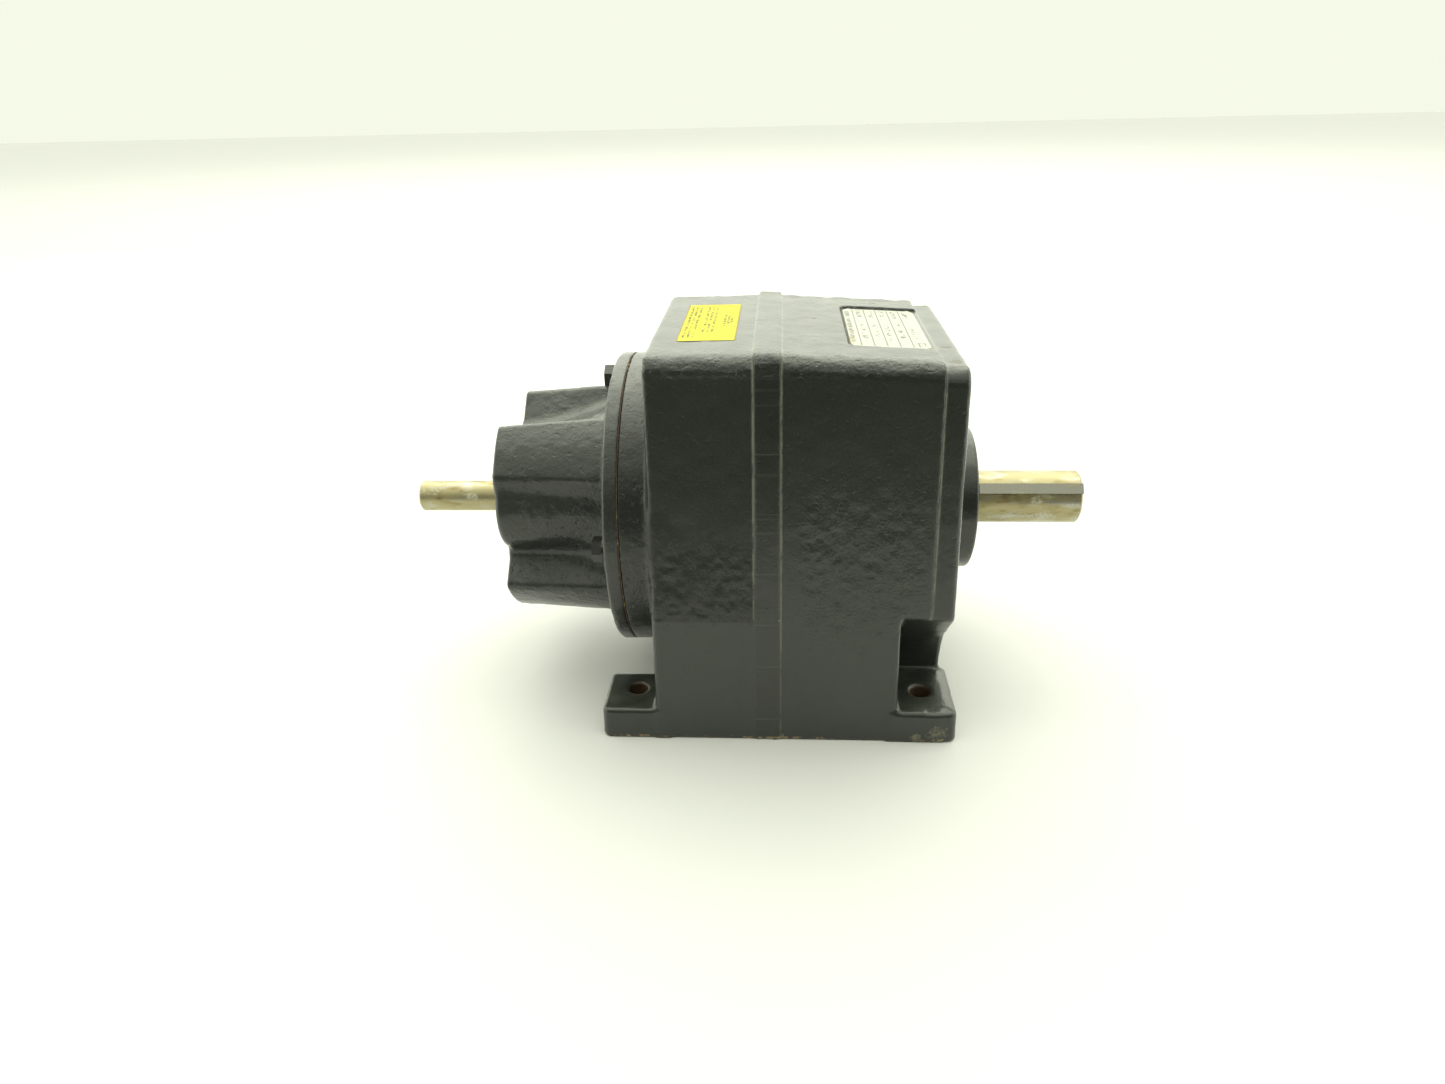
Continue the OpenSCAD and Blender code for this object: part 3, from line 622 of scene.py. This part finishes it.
class Shader:
    """A node material under construction, with short calls for common nodes.

    Sizes are in millimetres. A value is a socket, a number or a colour.
    """

    def __init__(self, name):
        self.mat = bpy.data.materials.new(name)
        self.mat.use_nodes = True
        self.tree = self.mat.node_tree
        self.bsdf = self.tree.nodes["Principled BSDF"]
        place = self.tree.nodes.new("ShaderNodeTexCoord").outputs["Object"]
        self.place = self.scaled(place, (1 / MM,) * 3)
        self.x, self.y, self.z = self.split(self.place)

    def put(self, socket, value):
        """Links a socket or sets its own value."""
        if isinstance(value, bpy.types.NodeSocket):
            self.tree.links.new(value, socket)
        elif isinstance(value, tuple) and len(value) == 3 and socket.type == "RGBA":
            socket.default_value = (*value, 1)
        else:
            socket.default_value = value

    def add(self, kind, inputs=(), **settings):
        """Adds a node with its settings and inputs."""
        node = self.tree.nodes.new(kind)
        for key, value in settings.items():
            setattr(node, key, value)
        for key, value in inputs:
            self.put(node.inputs[key], value)
        return node

    def math(self, operation, a, b=0.0, clamp=False):
        pairs = ((0, a), (1, b))
        return self.add("ShaderNodeMath", pairs, operation=operation, use_clamp=clamp).outputs[0]

    def times(self, *values):
        total = values[0]
        for v in values[1:]:
            total = self.math("MULTIPLY", total, v)
        return total

    def plus(self, *values):
        total = values[0]
        for v in values[1:]:
            total = self.math("ADD", total, v)
        return total

    def most(self, *values):
        total = values[0]
        for v in values[1:]:
            total = self.math("MAXIMUM", total, v)
        return total

    def ramp(self, value, low, high, to_low=0.0, to_high=1.0):
        """A smooth step of a value, which may fall when low is above high."""
        if low > high:
            low, high, to_low, to_high = high, low, to_high, to_low
        pairs = ((0, value), (1, low), (2, high), (3, to_low), (4, to_high))
        return self.add("ShaderNodeMapRange", pairs, interpolation_type="SMOOTHSTEP").outputs[0]

    def inside(self, value, low, high, soft=0.4):
        """One between low and high, with soft edges, and zero elsewhere."""
        rise = self.ramp(value, low - soft, low + soft)
        fall = self.ramp(value, high + soft, high - soft)
        return self.times(rise, fall)

    def split(self, vector):
        return self.add("ShaderNodeSeparateXYZ", ((0, vector),)).outputs[:]

    def join(self, x, y, z):
        return self.add("ShaderNodeCombineXYZ", ((0, x), (1, y), (2, z))).outputs[0]

    def scaled(self, vector, factors):
        pairs = ((0, vector), (1, factors))
        return self.add("ShaderNodeVectorMath", pairs, operation="MULTIPLY").outputs[0]

    def noise(self, size, detail=2.0, at=None, stretch=(1, 1, 1), lift=0.0, distort=0.0):
        """Noise from 0 to 1 with lumps of a size in millimetres."""
        source = self.place if at is None else at
        vector = self.scaled(source, tuple(1 / (size * s) for s in stretch))
        pairs = [("Vector", vector), ("W", lift), ("Scale", 1.0)]
        pairs += [("Detail", detail), ("Distortion", distort)]
        return self.add("ShaderNodeTexNoise", pairs, noise_dimensions="4D").outputs["Fac"]

    def spot(self, centre, radius, ragged=0.5, grit=3.0):
        """A blotch with a ragged outline around a point."""
        pairs = ((0, self.place), (1, centre))
        gap = self.add("ShaderNodeVectorMath", pairs, operation="DISTANCE").outputs["Value"]
        uneven = self.times(self.math("SUBTRACT", self.noise(grit, 4.0), 0.5), 2.6 * ragged * radius)
        return self.ramp(self.plus(gap, uneven), radius * 1.15, radius * 0.75)

    def mix(self, amount, a, b):
        """Blends colour a into colour b by an amount from 0 to 1."""
        pairs = ((0, amount), (6, a), (7, b))
        return self.add("ShaderNodeMix", pairs, data_type="RGBA").outputs[2]

    def facing(self):
        """The parts of the surface normal."""
        return self.split(self.add("ShaderNodeNewGeometry").outputs["Normal"])

    def attribute(self, name):
        return self.add("ShaderNodeAttribute", attribute_name=name).outputs["Fac"]

    def finish(self, color, roughness, height=None, metallic=0.0, **fixed):
        """Fills the shader's sockets. The height is in millimetres."""
        self.put(self.bsdf.inputs["Base Color"], color)
        self.put(self.bsdf.inputs["Roughness"], roughness)
        self.put(self.bsdf.inputs["Metallic"], metallic)
        for key, value in fixed.items():
            self.bsdf.inputs[key.replace("_", " ")].default_value = value
        if height is not None:
            pairs = (("Strength", 1.0), ("Distance", MM), ("Height", height))
            bump = self.add("ShaderNodeBump", pairs)
            self.put(self.bsdf.inputs["Normal"], bump.outputs[0])
        return self.mat


# ---- materials --------------------------------------------------------------

rust = (0.050, 0.028, 0.016)
light_rust = (0.11, 0.065, 0.032)
dirt = (0.30, 0.27, 0.17)
# dust; the same colour in the hollows also serves as a painted highlight
dust = (0.16, 0.165, 0.125)
enamel_dark, enamel_pale = (0.017, 0.021, 0.017), (0.028, 0.033, 0.027)
enamel_shade = (0.006, 0.007, 0.006)
enamel_grit = (0.085, 0.09, 0.07)
enamel_worn = (0.11, 0.115, 0.09)
enamel_chip = (0.45, 0.46, 0.38)
ground_mark = (0.10, 0.105, 0.085)
seam_bead_and_highlight_color = (0.15, 0.155, 0.105)
bare_edge = (0.36, 0.27, 0.12)


def painted_iron(name, extra=None):
    """Charcoal green enamel on sand-cast iron, with dust, chips, worn edges and painted shade, and dust in
    the hollows that also serves as a painted highlight.

    The extra function adds the marks of one casting and says where they dull the gloss.
    """
    s = Shader(name)
    grain, hollow, ridge = (s.attribute(n) for n in ("grain", "hollow", "ridge"))
    upward = s.facing()[2]
    tone = s.mix(s.noise(38, 3.0), enamel_dark, enamel_pale)
    grit = s.noise(1.9, 3.0)
    color = s.mix(s.times(s.ramp(grit, 0.56, 0.74), grain, 0.35), tone, enamel_grit)
    film = s.times(s.ramp(upward, 0.6, 0.98), s.ramp(s.noise(16, 4.0), 0.3, 0.75), 0.30)
    color = s.mix(film, color, dust)
    # Dust colour in the hollows, partly real dust and partly a painted highlight along the fillets
    hollow_dust_and_highlight = s.times(hollow, s.ramp(s.noise(9, 3.0, lift=2.0), 0.25, 0.7), 0.75)
    color = s.mix(hollow_dust_and_highlight, color, dust)
    worn = s.times(ridge, s.ramp(s.noise(5, 3.0, lift=4.0), 0.45, 0.7), 0.5)
    color = s.mix(worn, color, enamel_worn)
    specks = s.ramp(s.noise(1.4, 1.0, lift=7.0), 0.80, 0.84)
    color = s.mix(s.times(specks, 0.8), color, enamel_chip)
    input_half = s.ramp(s.x, band_x0 + 0.5, band_x0 - 0.5)
    above_lip = s.times(s.ramp(s.z, lip_z, lip_z + 2.5), s.ramp(s.z, 190, 150))
    rough_half = s.times(input_half, above_lip)
    gloss_loss = s.times(rough_half, 0.12)
    roughness = s.plus(0.27, gloss_loss, s.times(s.noise(22, 2.0, lift=9.0), 0.10))
    roughness = s.plus(roughness, s.times(hollow_dust_and_highlight, 0.25))
    if extra is None:
        # Painted shade: faces turned downward are darkened
        underside_shade = s.ramp(upward, 0.2, -0.4)
        color = s.mix(s.times(underside_shade, 0.6), color, enamel_shade)
    else:
        # Painted shade: the rough part of the input half is darkened, standing in for its weaker
        # reflection
        color = s.mix(s.times(rough_half, 0.75), color, enamel_shade)
        color, stain = extra(s, color)
        roughness = s.plus(roughness, s.times(stain, 0.35))
    skin = s.times(s.noise(2.6, 2.0, lift=1.0), 0.05)
    sand = s.times(s.noise(1.7, 4.0, lift=3.0), grain, 0.8)
    pits = s.times(s.ramp(s.noise(3.4, 2.0, lift=5.0), 0.42, 0.28), grain, -0.6)
    height = s.plus(skin, sand, pits)
    return s.finish(color, roughness, height, Coat_Weight=0.5, Coat_Roughness=0.16)


def band_marks(s, color, ay):
    """Grinding strokes across the raised band, painted shade darkening the band, and pale lines along the
    seams that are partly paint beads and partly painted edge highlights.
    """
    band = s.times(s.inside(s.x, band_x0 + 0.5, band_x1 - 0.5), s.ramp(ay, 70, 80))
    # Painted shade: the band is darkened with the shade colour
    color = s.mix(s.times(band, 0.35), color, enamel_shade)
    along = s.join(s.times(s.x, 0.02), s.times(s.y, 0.02), s.z)
    strokes = s.ramp(s.noise(2.4, 3.0, at=along), 0.57, 0.66)
    strokes = s.times(strokes, s.ramp(s.noise(16, at=along), 0.4, 0.6))
    color = s.mix(s.times(band, strokes, 0.55), color, ground_mark)
    # Pale lines along the seams: partly paint beads, partly painted highlights where the fillets catch the
    # light, lighter higher up
    seams = ((band_x0 - 0.7, lip_z), (band_x1 + 0.7, 2), (step_x + 0.6, 76))
    for seam, start in seams:
        bead_and_highlight = s.inside(s.x, seam - 0.5, seam + 0.5, 0.3)
        bead_and_highlight = s.times(bead_and_highlight, s.ramp(s.z, start, start + 6))
        bead_and_highlight = s.times(bead_and_highlight, s.ramp(s.noise(9.0, 4.0, lift=12.0), 0.28, 0.60))
        bead_and_highlight = s.times(bead_and_highlight, s.ramp(s.z, 20, 110, 0.35, 0.8))
        color = s.mix(bead_and_highlight, color, seam_bead_and_highlight_color)
    return color


def rust_stain(s, ay):
    """Rust at the foot's lower edge, in the foot holes, on the top and in spots."""
    low = s.ramp(s.z, 3.2, 0.6)
    bare = s.times(low, s.ramp(s.noise(3.2, 4.0, lift=6.0), 0.50, 0.58))
    from_hole = s.math("SUBTRACT", s.math("ABSOLUTE", s.x), hole_x)
    beside_hole = s.math("POWER", s.math("SUBTRACT", ay, hole_y), 2.0)
    reach = s.math("SQRT", s.plus(s.times(from_hole, from_hole), beside_hole))
    hole = s.times(s.ramp(reach, 7.6, 5.2), s.ramp(s.z, pad_t + 3, pad_t + 1), 0.85)
    stain = s.most(bare, hole)
    peppered = s.ramp(s.noise(2.0, 3.0, lift=21.0), 0.66, 0.70)
    peppered = s.times(peppered, s.ramp(s.noise(26, 3.0, lift=22.0), 0.52, 0.66))
    stain = s.most(stain, s.times(peppered, s.ramp(s.z, 198, 205), 0.7))
    for centre, radius in rust_spots:
        stain = s.most(stain, s.times(s.spot(centre, radius, 0.7, 2.0), 0.6))
    return stain


def dirt_patches(s):
    """Dried splashes of dirt."""
    muck = 0.0
    for centre, radius in dirt_spots:
        patch = s.times(s.spot(centre, radius, 1.1, 2.6), s.ramp(s.noise(1.6, 4.0, lift=31.0), 0.35, 0.65))
        muck = s.most(muck, s.times(patch, 0.5))
    return muck


def housing_marks(s, color):
    """Grinding marks, rust and dirt where the photograph shows them, with painted shade on the band and
    painted highlights along the seams.
    """
    ay = s.math("ABSOLUTE", s.y)
    color = band_marks(s, color, ay)
    stain = rust_stain(s, ay)
    color = s.mix(stain, color, s.mix(s.noise(3.0, 3.0), rust, light_rust))
    flash = s.times(s.ramp(s.z, 2.6, 1.4), s.ramp(s.noise(4.0, 3.0, lift=16.0), 0.50, 0.57))
    flash = s.times(flash, s.ramp(s.noise(30, lift=17.0), 0.42, 0.55))
    color = s.mix(s.times(flash, 0.8), color, bare_edge)
    muck = dirt_patches(s)
    color = s.mix(muck, color, dirt)
    return color, s.most(stain, muck)


# centre and radius of each spot, in millimetres
rust_spots = (
    ((90.0, -34.0, strip_top), 3.2),
    ((91.0, -64.0, strip_top - 0.5), 3.6),
    ((88.0, -73.0, strip_top - 2.0), 2.6),
    ((74.0, -76.0, step_top - 2.0), 2.2),
    ((58.0, 60.0, 215.0), 2.2),
    ((20.0, 10.0, 217.0), 1.6),
    ((-16.0, -86.0, 117.0), 1.3),
    ((-68.0, -80.0, 205.0), 2.0),
)
dirt_spots = (
    ((-14.0, -79.0, 214.0), 1.6),
    ((2.0, -79.0, 215.0), 1.6),
    ((2.0, -103.0, 2.0), 1.8),
    ((90.0, -103.0, 5.0), 5.5),
    ((78.0, -104.0, 3.0), 3.0),
    ((-88.0, -102.0, 8.0), 1.2),
    ((-70.0, -79.0, 213.0), 1.8),
)

enamel_housing = painted_iron("housing_enamel", housing_marks)
enamel_bracket = painted_iron("bracket_enamel")


def gasket_paper():
    """Brown gasket edge with dried sealant on it."""
    s = Shader("gasket_paper")
    color = s.mix(s.noise(6, 3.0), (0.07, 0.035, 0.022), (0.12, 0.06, 0.03))
    color = s.mix(s.ramp(s.noise(7, 4.0, lift=3.0), 0.56, 0.66), color, (0.30, 0.21, 0.07))
    return s.finish(color, 0.75, s.times(s.noise(0.8, 2.0), 0.2))


varnish_thin, varnish_thick = (0.46, 0.40, 0.20), (0.30, 0.225, 0.07)
varnish_flake = (0.66, 0.65, 0.53)
pit_brown = (0.13, 0.085, 0.035)
oil_film = (0.22, 0.15, 0.05)


def turned_steel(name, varnish, bright=(0.56, 0.55, 0.49)):
    """Turned bar with dried yellow preservative in streaks and blotches."""
    s = Shader(name)
    rings = s.noise(0.5, 2.0, at=s.join(s.x, 0.0, 0.0))
    steel = s.mix(rings, tuple(0.9 * c for c in bright), bright)
    long = (2.6, 1.0, 1.0)
    blotches = s.noise(6.5, 4.0, stretch=long, distort=0.5)
    coat = s.ramp(blotches, 0.66 - 0.40 * varnish, 0.78 - 0.26 * varnish)
    thick = s.ramp(s.noise(4.2, 3.0, stretch=long, lift=2.0, distort=0.4), 0.46, 0.72)
    gold = s.mix(thick, varnish_thin, varnish_thick)
    color = s.mix(s.times(coat, 0.92), steel, gold)
    flake = s.ramp(s.noise(7.0, 5.0, stretch=long, lift=5.0), 0.58, 0.63)
    dry = s.times(flake, s.ramp(s.noise(1.6, 2.0, lift=1.0), 0.35, 0.6))
    color = s.mix(s.times(dry, 0.75 * varnish), color, varnish_flake)
    pitted = s.ramp(s.noise(1.6, 3.0, lift=8.0), 0.70, 0.75)
    pitted = s.times(pitted, s.ramp(s.noise(9, lift=4.0), 0.45, 0.6))
    color = s.mix(s.times(pitted, 0.6), color, pit_brown)
    metal = s.plus(0.95, s.times(coat, -0.5 * varnish), s.times(dry, -0.3 * varnish))
    roughness = s.plus(0.24, s.times(coat, 0.06), s.times(dry, 0.3), s.times(rings, 0.06))
    film = s.plus(s.times(coat, 0.03), s.times(thick, coat, 0.03))
    height = s.plus(film, s.times(rings, 0.01), s.times(dry, 0.03))
    return s.finish(color, roughness, height, metal)


def ground_steel(name, tint, shine, oil=0.0):
    """Ground or hardened steel under a thin film of oil."""
    s = Shader(name)
    scratch = s.noise(0.5, 2.0, stretch=(1, 9, 9))
    color = s.mix(scratch, tuple(0.8 * c for c in tint), tint)
    film = s.ramp(s.noise(9, 3.0, lift=2.0), 0.4, 0.65)
    color = s.mix(s.times(film, oil), color, oil_film)
    roughness = s.plus(shine, s.times(scratch, 0.10), s.times(film, 0.08))
    return s.finish(color, roughness, s.times(scratch, 0.01), 1.0)


def black_oxide(name, worn_amount):
    """Blackened fastener steel with rubbed corners."""
    s = Shader(name)
    color = s.mix(s.noise(3, 3.0), (0.012, 0.012, 0.011), (0.030, 0.029, 0.026))
    rub = s.ramp(s.noise(1.6, 4.0, lift=3.0), 0.60, 0.72)
    color = s.mix(s.times(rub, worn_amount), color, (0.20, 0.17, 0.13))
    roughness = s.plus(0.26, s.times(s.noise(1.2, 2.0), 0.2))
    height = s.times(s.noise(0.7, 2.0), 0.03)
    return s.finish(color, roughness, height, 0.35, Coat_Weight=0.6, Coat_Roughness=0.15)


def seal_rubber():
    """Black rubber with a trace of oil and dust."""
    s = Shader("seal_rubber")
    color = s.mix(s.noise(4, 3.0), (0.012, 0.011, 0.010), (0.035, 0.028, 0.020))
    roughness = s.plus(0.45, s.times(s.noise(3, 2.0), 0.2))
    return s.finish(color, roughness, s.times(s.noise(0.9, 2.0), 0.05))


def cage_brass():
    """Pressed brass with fine scratches."""
    s = Shader("cage_brass")
    scratch = s.noise(0.8, 2.0)
    color = s.mix(scratch, (0.50, 0.30, 0.09), (0.68, 0.45, 0.16))
    roughness = s.plus(0.25, s.times(scratch, 0.2))
    return s.finish(color, roughness, s.times(scratch, 0.02), 1.0)


def scribble(s, along, across, window, size, busy, seed):
    """Rows of tiny meaningless strokes, as on a worn printed plate."""
    at = s.join(along, s.times(across, 0.8), float(seed))
    strokes = s.ramp(s.noise(size, 3.0, at=at), 0.66 - busy, 0.70 - busy)
    return s.times(strokes, window)


def plate_print(s, lo, hi):
    """Ruled columns, each with two short runs of marks."""
    width = hi[0] - lo[0]
    column, first = width * 0.162, lo[0] + width * 0.135
    full = s.inside(s.y, lo[1] + 2, hi[1] - 2)
    ink = 0.0
    for i in range(5):
        line = first + i * column
        ink = s.most(ink, s.times(s.inside(s.x, line - 0.34, line + 0.34, 0.12), full))
    for i in range(6):
        middle = first + (i - 0.5) * column
        row = s.inside(s.x, middle - 1.5, middle + 1.3, 0.2)
        head = s.times(row, s.inside(s.y, hi[1] - 22, hi[1] - 4))
        body = s.times(row, s.inside(s.y, -34 + 5 * (i % 3), 12 - 7 * (i % 2)))
        ink = s.most(ink, scribble(s, s.y, s.x, head, 1.7, 0.17, 3 + i))
        ink = s.most(ink, scribble(s, s.y, s.x, body, 2.6, 0.12, 13 + i))
    edge = s.times(s.inside(s.x, lo[0] + 1.0, lo[0] + 3.2, 0.2), s.inside(s.y, lo[1] + 6, hi[1] - 8))
    return s.most(ink, scribble(s, s.y, s.x, edge, 1.4, 0.18, 30))


def framed_block(s, x0, x1, y0, y1):
    """A ruled frame around a row of plain bars."""
    soft, line = 0.12, 0.7
    outer = s.times(s.inside(s.x, x0, x1, soft), s.inside(s.y, y0, y1, soft))
    inner_x = s.inside(s.x, x0 + line, x1 - line, soft)
    inner = s.times(inner_x, s.inside(s.y, y0 + line, y1 - line, soft))
    bars = s.inside(s.math("PINGPONG", s.y, 1.6), 0.5, 1.1, 0.2)
    open_part = s.math("SUBTRACT", 1.0, s.times(bars, 0.5))
    return s.math("SUBTRACT", outer, s.times(inner, open_part))


def plate_metal():
    """Off-white plate with ruled columns and generic unreadable marks."""
    s = Shader("plate_metal")
    lo, hi = box_mm("nameplate")
    color = s.mix(s.noise(11, 4.0), (0.47, 0.47, 0.39), (0.55, 0.55, 0.47))
    block = framed_block(s, hi[0] - 6.4, hi[0] - 2.2, lo[1] + 3.0, lo[1] + 13.0)
    ink = s.most(plate_print(s, lo, hi), block)
    color = s.mix(s.times(ink, 0.88), color, (0.045, 0.045, 0.04))
    rim = s.ramp(s.x, lo[0] + 5.0, lo[0])
    stain = s.times(rim, s.ramp(s.noise(8, 4.0, lift=6.0), 0.42, 0.6), s.ramp(s.y, 20, -10))
    color = s.mix(s.times(stain, 0.75), color, (0.36, 0.25, 0.08))
    scuff = s.ramp(s.noise(2.2, 4.0, lift=9.0), 0.66, 0.72)
    color = s.mix(s.times(scuff, 0.4), color, (0.42, 0.42, 0.34))
    return s.finish(color, s.plus(0.30, s.times(scuff, 0.3)), s.times(ink, -0.03))


def label_vinyl():
    """Yellow vinyl with rows of generic unreadable marks."""
    s = Shader("label_vinyl")
    lo, hi = box_mm("caution_label")
    color = s.mix(s.noise(25, 3.0), (0.62, 0.56, 0.012), (0.70, 0.64, 0.03))
    ink = 0.0
    rows = [(lo[0] + 3.0 + 2.5 * i, lo[1] + 8, hi[1] - 6) for i in range(3)]
    rows += [(lo[0] + 13.0 + 2.5 * i, lo[1] + 20, hi[1] - 6) for i in range(3)]
    rows += [(hi[0] - 8.0 + 2.0 * i, -12 + 3 * i, 16 - 3 * i) for i in range(3)]
    for i, (at, start, end) in enumerate(rows):
        row = s.times(s.inside(s.x, at - 0.75, at + 0.75, 0.15), s.inside(s.y, start, end))
        ink = s.most(ink, scribble(s, s.y, s.x, row, 1.5, 0.18, 50 + i))
    color = s.mix(s.times(ink, 0.85), color, (0.05, 0.045, 0.02))
    middle, half = (lo + hi) / 2, (hi - lo) / 2
    from_x = s.math("ABSOLUTE", s.math("SUBTRACT", s.x, middle[0]))
    from_y = s.math("ABSOLUTE", s.math("SUBTRACT", s.y, middle[1]))
    reach = s.most(s.math("SUBTRACT", from_x, half[0]), s.math("SUBTRACT", from_y, half[1]))
    rim = s.ramp(s.plus(reach, s.times(s.noise(5, 3.0), 0.9)), -0.6, 0.2)
    color = s.mix(s.times(rim, 0.8), color, (0.22, 0.13, 0.03))
    return s.finish(color, 0.55, s.times(s.noise(6, 3.0), 0.08), Specular_IOR_Level=0.25)


materials = {
    "gasket_paper": gasket_paper(),
    "black_fastener": black_oxide("black_fastener", 0.5),
    "spring_steel": black_oxide("spring_steel", 0.3),
    "plug_steel": black_oxide("plug_steel", 0.7),
    "seal_rubber": seal_rubber(),
    "shaft_steel": turned_steel("shaft_steel", 1.0),
    "key_steel": turned_steel("key_steel", 0.35, (0.36, 0.35, 0.30)),
    "plate_metal": plate_metal(),
    "pin_steel": ground_steel("pin_steel", (0.52, 0.50, 0.45), 0.3),
    "label_vinyl": label_vinyl(),
    "cage_brass": cage_brass(),
    "ball_steel": ground_steel("ball_steel", (0.75, 0.75, 0.74), 0.06),
    "race_steel": ground_steel("race_steel", (0.62, 0.62, 0.60), 0.16, 0.3),
    "gear_steel": ground_steel("gear_steel", (0.50, 0.49, 0.47), 0.24, 0.5),
    "painted_iron": enamel_housing,
}
slot_of = {part["node"]: part["material_slot"] for part in frame["record"]["subparts"]}


def dress(obj, mat):
    """Gives an object one material."""
    obj.data.materials.clear()
    obj.data.materials.append(mat)


dress(housing, enamel_housing)
dress(bracket, enamel_bracket)
for node_name, obj in nodes.items():
    dress(obj, materials[slot_of[node_name]])

# ---- stage ------------------------------------------------------------------

floor_half = 8.0
floor_mesh = bpy.data.meshes.new("floor")
corners = [(a * floor_half, b * floor_half, 0) for a, b in ((-1, -1), (1, -1), (1, 1), (-1, 1))]
floor_mesh.from_pydata(corners, [], [(0, 1, 2, 3)])
floor = bpy.data.objects.new("floor", floor_mesh)
bpy.context.scene.collection.objects.link(floor)
pale = Shader("pale_floor")
floor_tone = pale.mix(pale.noise(160, 4.0), (0.70, 0.70, 0.69), (0.73, 0.73, 0.72))
# in front of the object the floor sends back little light, as with a black card laid there
seen_directly = pale.add("ShaderNodeLightPath").outputs["Is Camera Ray"]
card = pale.times(pale.ramp(pale.y, -340, -720), pale.math("SUBTRACT", 1.0, seen_directly))
dress(floor, pale.finish(pale.mix(card, floor_tone, (0.10, 0.10, 0.09)), 0.6))

light_tint = (0.97, 1.0, 0.85)


def studio_world():
    """Bright behind and above the object, dim on the camera's side, plain pale to the camera."""
    world = bpy.data.worlds.new("studio")
    world.use_nodes = True
    tree = world.node_tree
    back = tree.nodes["Background"]
    direction = tree.nodes.new("ShaderNodeTexCoord").outputs["Generated"]
    split = tree.nodes.new("ShaderNodeSeparateXYZ")
    tree.links.new(direction, split.inputs[0])

    def fade(axis, settings):
        node = tree.nodes.new("ShaderNodeMapRange")
        node.interpolation_type = "SMOOTHSTEP"
        tree.links.new(split.outputs[axis], node.inputs[0])
        for i, value in enumerate(settings, start=1):
            node.inputs[i].default_value = value
        return node.outputs[0]

    total = tree.nodes.new("ShaderNodeMath")
    tree.links.new(fade("Y", (-0.35, 0.70, 0.05, 1.0)), total.inputs[0])
    tree.links.new(fade("Z", (0.25, 0.95, 0.0, 1.15)), total.inputs[1])
    level = tree.nodes.new("ShaderNodeMix")
    seen = tree.nodes.new("ShaderNodeLightPath").outputs["Is Camera Ray"]
    tree.links.new(seen, level.inputs[0])
    tree.links.new(total.outputs[0], level.inputs[2])
    level.inputs[3].default_value = 0.95
    tree.links.new(level.outputs[0], back.inputs["Strength"])
    back.inputs["Color"].default_value = (*light_tint, 1)
    bpy.context.scene.world = world


studio_world()


def softbox(name, place, target, size, power):
    """A rectangular light, unseen by the camera, aimed at a point. Metres and watts."""
    light = bpy.data.lights.new(name, "AREA")
    light.shape = "RECTANGLE"
    light.size, light.size_y = size
    light.energy = power
    light.color = light_tint
    obj = bpy.data.objects.new(name, light)
    obj.location = place
    obj.rotation_euler = (Vector(target) - Vector(place)).to_track_quat("-Z", "Y").to_euler()
    obj.visible_camera = False
    bpy.context.scene.collection.objects.link(obj)


softbox("overhead", (0.0, 0.2, 1.4), (0, 0.15, 0.0), (1.8, 1.2), 7.6)
softbox("back_wall", (0.0, 1.7, 0.55), (0, 0, 0.2), (3.2, 0.9), 5.6)
softbox("far_floor", (0.0, 2.6, 2.2), (0, 2.2, 0.0), (5.0, 3.0), 60)
softbox("left_wall", (-1.1, 0.0, 0.45), (0, 0, 0.1), (1.4, 0.8), 5.0)
softbox("right_wall", (1.3, 0.0, 0.45), (0, 0, 0.1), (1.4, 0.8), 4.5)

# ---- camera -----------------------------------------------------------------

camera_place = (0.0015, -0.5565, 0.3432)
camera_pitch, camera_yaw, camera_roll = 25.575, -3.868, -1.436
camera_lens = 23.99

camera = bpy.data.cameras.new("camera")
camera.sensor_width = 36
camera.lens = camera_lens
camera.clip_start = 0.01
view = bpy.data.objects.new("camera", camera)
pitch, yaw, roll = (math.radians(a) for a in (camera_pitch, camera_yaw, camera_roll))
aim = Vector((math.sin(yaw) * math.cos(pitch), math.cos(yaw) * math.cos(pitch), -math.sin(pitch)))
view.location = camera_place
turn = aim.to_track_quat("-Z", "Y").to_matrix().to_4x4() @ Matrix.Rotation(roll, 4, "Z")
view.rotation_euler = turn.to_euler()
bpy.context.scene.collection.objects.link(view)
bpy.context.scene.camera = view
bpy.context.scene.view_settings.view_transform = "Standard"
